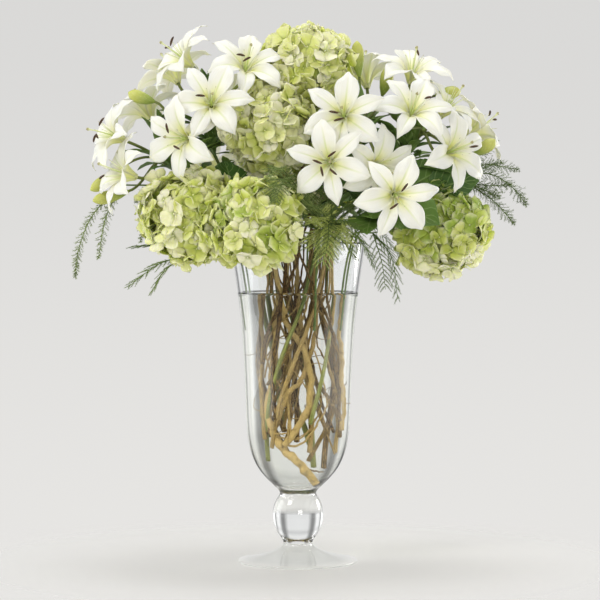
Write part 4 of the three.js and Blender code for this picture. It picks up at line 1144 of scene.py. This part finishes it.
def add_frond(pile, route, half, rng, kind=0, spacing=FROND_SPACING):
    """A main stalk with branches on both sides, each set with fine needles, in one curved plane."""
    steps = 59
    line = spline(route, np.linspace(0, 1, steps + 1))
    ahead, through, flat = frame_along(line)
    length = line_length(line)
    tint = rng.uniform(0.1, 0.7)
    tube(pile, line, np.linspace(1.0, 0.35, len(line)), 6, tint * 0.5, kind)
    starts, ways, sizes, tints = [], [], [], []
    r = np.linspace(0, 1, 6)
    for k in range(int(length / spacing)):
        s = (k + 0.5) * spacing / length
        i = min(int(s * steps), steps - 1)
        root = line[i] + (line[i + 1] - line[i]) * (s * steps - i)
        reach = half * (0.35 + 0.9 * math.sin(math.pi * (0.12 + 0.84 * s))) * rng.uniform(0.8, 1.1)
        sign = 1 if k % 2 else -1
        way = unit(flat[i] * sign + ahead[i] * rng.uniform(0.55, 0.9) + through[i] * rng.uniform(-0.22, 0.22))
        branch = root + way * (reach * r)[:, None] + (ahead[i] * 0.22 - UP * 0.10) * (reach * r * r)[:, None]
        if min(petal_tree.find(point)[2] for point in branch) > BRANCH_ROOM:
            tube(pile, branch, np.linspace(0.5, 0.22, 6), 4, tint, kind)
        n = max(5, int(reach / NEEDLE_SPACING))
        q = (np.arange(n) + 0.6) / n
        places = spline(branch, q)
        spread = unit(np.cross(way, through[i]))
        for hand in (1, -1, 0):
            starts.append(places)
            ways.append(way * rng.uniform(0.7, 1.1, (n, 1)) + spread * hand * rng.uniform(0.5, 0.9, (n, 1))
                        + through[i] * rng.uniform(-0.6, 0.6, (n, 1)))
            sizes.append((5.4 - 2.4 * q) * rng.uniform(0.75, 1.15, n))
            tints.append(np.clip(tint + rng.uniform(-0.15, 0.3, n), 0, 1))
    starts = np.vstack(starts)
    clear = [petal_tree.find(start)[2] > NEEDLE_ROOM for start in starts]
    needles(pile, starts[clear], np.vstack(ways)[clear], np.concatenate(sizes)[clear], 0.27,
            np.concatenate(tints)[clear], kind)


def add_plume(pile, route, half, rng, pale):
    """A narrow bottlebrush frond: short shoots all round the stalk, each in a tuft of needles."""
    count = int(line_length(spline(route, np.linspace(0, 1, 60))) / 1.5)
    t = (np.arange(count) + 0.5) / count
    line = spline(route, t)
    ahead, through, flat = frame_along(line)
    tube(pile, line, np.linspace(1.1, 0.4, count), 6, pale * 0.6)
    turn = np.arange(count) * 2.4 + rng.uniform(-0.4, 0.4, count)
    away = through * np.cos(turn)[:, None] + flat * np.sin(turn)[:, None]
    taper = np.clip(0.5 + 1.3 * t, 0, 1) * np.clip((1.04 - t) * 3.2, 0.15, 1)
    reach = half * taper * rng.uniform(0.7, 1.15, count)
    shoot = unit(away + ahead * rng.uniform(0.5, 1.1, (count, 1)))
    needles(pile, line, shoot, reach, 0.34, pale)
    starts, ways, sizes = [], [], []
    for q in (0.1, 0.25, 0.4, 0.55, 0.7, 0.85, 0.97):
        for _ in range(3):
            starts.append(line + shoot * (reach * q)[:, None])
            ways.append(shoot * 0.9 + rng.normal(0, 0.55, (count, 3)))
            sizes.append(rng.uniform(2.6, 4.8, count))
    tints = np.clip(pale + rng.uniform(-0.25, 0.25, count * len(starts)), 0, 1)
    needles(pile, np.vstack(starts), np.vstack(ways), np.concatenate(sizes), 0.24, tints)


for k, (name, stalk, fronds) in enumerate(FERNS):
    rng = seeded("fern", k)
    pile = Pile()
    tube(pile, spline(stalk, np.linspace(0, 1, 50)), np.linspace(1.6, 1.2, 50), 8, 0.25)
    for route in fronds + EXTRA_FRONDS.get(name, []):
        if name in PLUMES:
            half, pale = PLUMES[name]
            add_plume(pile, route, half, rng, pale)
        else:
            add_frond(pile, route, FROND_HALF_WIDTH, rng)
    for route in FRESH_FRONDS if name == "fern_front" else []:
        add_frond(pile, route, FRESH_HALF_WIDTH, rng, 1, FRESH_SPACING)
    pile.made(name + "_fronds", [FERN, FRESH_FERN], [name])

# ---------------- twigs under water

# radius, shade, route
TWIGS = [
    (5.6, 0.95, [(24, -16, 124), (4, -24, 153), (-22, -22, 180), (-34, -14, 215), (-30, -2, 290),
                 (-22, 4, 380), (-12, 8, 500)]),
    (4.6, 0.85, [(-17, -30, 180), (1, -32, 209), (15, -31, 244), (17, -29, 275), (10, -29, 305),
                 (0, -29, 337), (-12, -27, 359), (-21, -25, 389), (-34, -22, 440), (-40, -20, 500)]),
    (2.8, 0.1, [(-36, -16, 196), (-23, -18, 239), (-3, -19, 297), (8, -19, 345), (29, -16, 403),
                (44, -12, 500)]),
    (3.8, 0.7, [(-31, -22, 200), (-12, -26, 253), (6, -25, 283), (16, -18, 320), (22, -8, 380),
                (28, 0, 500)]),
    (2.8, 0.15, [(52, -10, 214), (37, -16, 248), (19, -22, 283), (-3, -25, 341), (-20, -23, 389),
                 (-44, -18, 450), (-52, -14, 500)]),
    (2.2, 0.3, [(-37, -14, 268), (-18, -22, 305), (-3, -25, 337), (15, -25, 367), (33, -20, 403),
                (46, -14, 500)]),
    (3.6, 0.8, [(54, -8, 200), (55, -4, 244), (52, -4, 297), (49, 0, 337), (50, 4, 403), (52, 8, 500)]),
    (3.0, 0.5, [(-40, -14, 188), (-44, -10, 240), (-42, -8, 300), (-43, -8, 360), (-46, -6, 420),
                (-50, 0, 500)]),
    (1.6, 0.8, [(-24, -22, 186), (-3, -29, 180), (18, -27, 199), (29, -20, 222), (35, -16, 240),
                (30, -14, 276), (20, -18, 320)]),
    (1.3, 0.6, [(-26, -24, 192), (0, -30, 190), (20, -26, 212), (27, -18, 238), (22, -14, 264),
                (8, -20, 300)]),
    (1.2, 0.7, [(-30, -26, 196), (-10, -30, 200), (8, -28, 222), (14, -22, 252), (2, -28, 280),
                (-16, -26, 300)]),
    (1.0, 0.2, [(11, -22, 147), (32, -16, 143)]),
    (1.3, 0.4, [(-42, -22, 279), (-34, -30, 319), (-20, -32, 341), (-3, -30, 345), (10, -26, 330)]),
    (1.1, 0.3, [(-46, -18, 300), (-30, -32, 330), (-24, -30, 368), (-30, -24, 400), (-36, -16, 440)]),
    (1.4, 0.5, [(-20, -30, 262), (-34, -28, 290), (-40, -22, 322), (-30, -28, 352), (-12, -30, 372),
                (10, -26, 410), (20, -20, 500)]),
    (1.2, 0.2, [(44, -14, 262), (36, -24, 300), (24, -30, 330), (30, -26, 370), (42, -16, 410),
                (48, -4, 500)]),
    (2.4, 0.4, [(10, 30, 160), (34, 20, 220), (46, 8, 290), (30, 20, 360), (4, 30, 420), (-20, 34, 500)]),
    (2.6, 0.2, [(-10, 26, 170), (-34, 20, 230), (-40, 14, 300), (-20, 30, 360), (10, 34, 420),
                (34, 30, 500)]),
    (2.5, 0.03, [(-44, -22, 300), (-38, -30, 350), (-20, -42, 400), (-3, -52, 450), (6, -66, 486),
                 (18, -84, 524)]),
    (2.3, 0.08, [(46, -18, 290), (44, -26, 345), (28, -40, 400), (8, -52, 450), (-2, -66, 484),
                 (-12, -84, 520)]),
    (2.6, 0.2, [(46, 10, 190), (47, 2, 260), (42, -12, 330), (36, -20, 400), (30, -16, 500)]),
    (2.2, 0.7, [(38, 20, 170), (44, 10, 240), (36, -18, 310), (44, -22, 380), (52, -10, 500)]),
]
CROSSING_TWIGS = 18
TWIG_TOP = 500
ROOTLETS = 34
ROOTLET_HEIGHTS = 150, 380
ROOTLET_POINTS = 18
ROOTLET_WALL_GAP = 16


def crossing_twig(rng):
    """A thin twig that leans from one side of the bowl's floor to the other side of its mouth."""
    a, low = rng.uniform(0, TAU), rng.uniform(165, 250)
    across = a + math.pi + rng.uniform(-0.9, 0.9)
    foot_reach, mouth_reach = rng.uniform(28, 50), rng.uniform(36, 58)
    start = level_way(a) * foot_reach + UP * low
    end = level_way(across) * mouth_reach + UP * TWIG_TOP
    shares = (0, 0.2, 0.4, 0.6, 0.8, 1)
    route = [start + (end - start) * share + vec(*rng.uniform(-6, 6, 2), 0) for share in shares]
    return rng.uniform(1.1, 2.2), rng.uniform(0, 1) ** 1.1 * 0.95, route


def add_rootlet(pile, start, rng):
    """A short curl that grows out of a twig and stays clear of the glass."""
    turn, curl = rng.uniform(0, TAU), rng.uniform(-1.6, 1.6)
    length, climb = rng.uniform(18, 46), rng.uniform(-0.5, 0.9)
    t = np.linspace(0, 1, ROOTLET_POINTS)
    angle = turn + curl * t
    steps = np.stack([np.cos(angle), np.sin(angle), climb + 0.6 * np.sin(5 * t + turn)], 1)
    line = start + np.cumsum(steps * length / ROOTLET_POINTS, axis=0)
    room = wall_radius(line[:, 2]) - ROOTLET_WALL_GAP
    line[:, :2] *= np.minimum(1, room / np.maximum(np.hypot(line[:, 0], line[:, 1]), 1))[:, None]
    tube(pile, line, np.linspace(rng.uniform(0.6, 1.1), 0.35, ROOTLET_POINTS), 6, rng.uniform(0, 0.8))


rng = seeded("crossing twigs")
twigs = TWIGS + [crossing_twig(rng) for _ in range(CROSSING_TWIGS)]
pile = Pile()
for k, (radius, shade, route) in enumerate(twigs):
    line = bark_line(route, seeded("twig", k), 0.5 * radius + 0.6, 160)
    t = np.linspace(0, 1, len(line))
    knots = 1 + 0.25 * np.exp(-((t[:, None] - (np.arange(1, 8) + 0.3 * k % 1) / 8.5) / 0.012) ** 2).sum(1)
    tube(pile, line, radius * (1 - 0.4 * t) * knots, 10, shade)
rng = seeded("rootlets")
for _ in range(ROOTLETS):
    route = twigs[int(rng.integers(len(twigs)))][-1]
    start = spline(route, [rng.uniform(0.05, 0.6)])[0]
    if ROOTLET_HEIGHTS[0] <= start[2] <= ROOTLET_HEIGHTS[1]:
        add_rootlet(pile, start, rng)
pile.made("twisted_twigs", [BARK])

# ---------------- stage, light and camera

FLOOR_RADIUS, FLOOR_SIDES, FLOOR_LIFT = 0.6, 96, 0.0003
FLOOR_FADE_START = 0.24
# painted shade under the glass foot: its colour, and the radii in metres between which it fades into the
# plain floor
FOOT_PAINTED_SHADE, FOOT_INNER, FOOT_OUTER = (0.66, 0.66, 0.645), 0.060, 0.0895
# name, place, what it points at, width, height, watts, colour
LAMPS = [
    ("key", (-1.95, -1.75, 2.2), (0, 0, 0.55), 1.0, 1.0, 34, (1.0, 0.985, 0.96)),
    ("fill", (2.0, -1.6, 1.4), (0, 0, 0.5), 1.6, 1.6, 4, (0.97, 0.98, 1.0)),
    ("top", (0.1, 0.2, 2.7), (0, 0, 0.6), 1.2, 1.2, 20, (1, 1, 0.98)),
    ("rim", (1.5, 0.9, 0.5), (0.15, 0, 0.5), 0.6, 0.6, 14, (1.0, 0.99, 0.96)),
    ("window", (-1.8, 0.3, 0.6), (0, 0, 0.5), 0.9, 1.1, 7, (0.93, 0.97, 1.0)),
    ("front", (0.5, -2.8, 0.6), (0, 0, 0.5), 1.0, 0.7, 20, (1.0, 0.98, 0.95)),
]
# how bright the world is at each share of the way round to the side, and of the way up
SIDE_BANDS = [(0, 0.80), (0.28, 0.78), (0.41, 0.22), (0.49, 0.26), (0.60, 0.98), (0.72, 0.92), (0.79, 0.12),
              (0.86, 1.7), (1, 1.3)]
HEIGHT_BANDS = [(0, 0.5), (0.2, 0.35), (0.33, 0.25), (0.42, 1), (0.66, 1), (0.74, 0.8), (0.84, 1.1),
                (1, 0.8)]
# The camera was placed by the photograph. Its focal length and its horizon are in pixels of 600.
CAMERA_PLACE = (0.003, -3.502, 0.485)
FOCAL_PIXELS, HORIZON_ROW, HALF_IMAGE = 2334.7, 239, 300


def placed(name, data):
    thing = bpy.data.objects.new(name, data)
    bpy.context.scene.collection.objects.link(thing)
    return thing


def add_lamp(name, place, target, size, size_y, power, colour):
    lamp = bpy.data.lights.new(name, "AREA")
    lamp.shape = "RECTANGLE"
    lamp.size, lamp.size_y, lamp.energy, lamp.color = size, size_y, power, colour
    thing = placed(name, lamp)
    thing.location = place
    thing.rotation_euler = (Vector(target) - Vector(place)).to_track_quat("-Z", "Y").to_euler()
    thing.visible_camera = False
    thing.visible_transmission = False


def make_floor():
    """A pale disc that fades out towards its edge, with a painted shade where the glass foot stands on it."""
    mesh = bpy.data.meshes.new("floor")
    turns = [TAU * k / FLOOR_SIDES for k in range(FLOOR_SIDES)]
    ring = [(FLOOR_RADIUS * math.cos(a), FLOOR_RADIUS * math.sin(a), FLOOR_LIFT) for a in turns]
    mesh.from_pydata(ring, [], [list(range(FLOOR_SIDES))])
    p = Paint("pale floor")
    squared = p.add("VectorMath", {0: p.here(), 1: p.here()}, operation="DOT_PRODUCT").outputs["Value"]
    away = p.math("SQRT", squared)
    plain = p.mix(p.noise(3, 3, p.here()), (0.77, 0.76, 0.745), (0.80, 0.79, 0.775))
    # painted shade: the floor is darker under the glass foot, fading out between the foot's inner and outer
    # radii
    p.finish(color=p.mix(p.ramp(away, FOOT_INNER, FOOT_OUTER), FOOT_PAINTED_SHADE, plain), roughness=0.6)
    mesh.materials.append(p.cleared(p.ramp(away, FLOOR_FADE_START, FLOOR_RADIUS)))
    placed("floor", mesh)


def grey_ramp(graph, value, stops):
    ramp = graph.add("ValToRGB", {0: value})
    elements = ramp.color_ramp.elements
    while len(elements) < len(stops):
        elements.new(0.5)
    for element, (place, level) in zip(elements, stops):
        element.position, element.color = place, (level, level, level, 1)
    return ramp.outputs[0]


def make_world():
    """A plain pale wall to look at, with bright and dark bands for what is seen in or through glass.

    Its light on leaves, petals and stems is plain and has no bands, also under water.
    """
    world = bpy.data.worlds.new("studio")
    bpy.context.scene.world = world
    world.use_nodes = True
    g = Graph(world.node_tree)
    path = g.add("LightPath").outputs
    way = g.add("SeparateXYZ", {0: g.add("TexCoord").outputs["Generated"]}).outputs
    height = way[2]
    share = g.math("SUBTRACT", 1.0, g.times(path["Is Transmission Ray"], 0.7))
    dim = g.times(g.ramp(way[1], -0.95, -0.35, 0.88, 0), share)
    walls = grey_ramp(g, g.math("ABSOLUTE", way[0]), SIDE_BANDS)
    ends = grey_ramp(g, g.ramp(height, -1, 1), HEIGHT_BANDS)
    banded = g.mix(1, walls, ends, "MULTIPLY")
    in_glass = g.math("MAXIMUM", path["Is Glossy Ray"], path["Is Transmission Ray"])
    in_glass = g.times(in_glass, g.math("LESS_THAN", path["Diffuse Depth"], 0.5))
    ambient = g.mix(g.ramp(height, -1, 0.7), (0.86, 0.85, 0.81), (0.39, 0.39, 0.39))
    lit = g.mix(in_glass, ambient, g.mix(dim, banded, (0, 0, 0)))
    seen = g.mix(g.ramp(height, -0.16, 0.11), (0.80, 0.79, 0.77), (0.70, 0.695, 0.683))
    g.set(g.tree.nodes["Background"], {0: g.mix(path["Is Camera Ray"], lit, seen), 1: 1.0})


def make_camera():
    data = bpy.data.cameras.new("camera")
    data.sensor_fit = "HORIZONTAL"
    data.angle = 2 * math.atan(HALF_IMAGE / FOCAL_PIXELS)
    camera = placed("camera", data)
    camera.location = CAMERA_PLACE
    camera.rotation_euler = (math.pi / 2 - math.atan((HALF_IMAGE - HORIZON_ROW) / FOCAL_PIXELS), 0, 0)
    bpy.context.scene.camera = camera
    bpy.context.scene.view_settings.view_transform = "Standard"


make_floor()
make_world()
for lamp in LAMPS:
    add_lamp(*lamp)
make_camera()
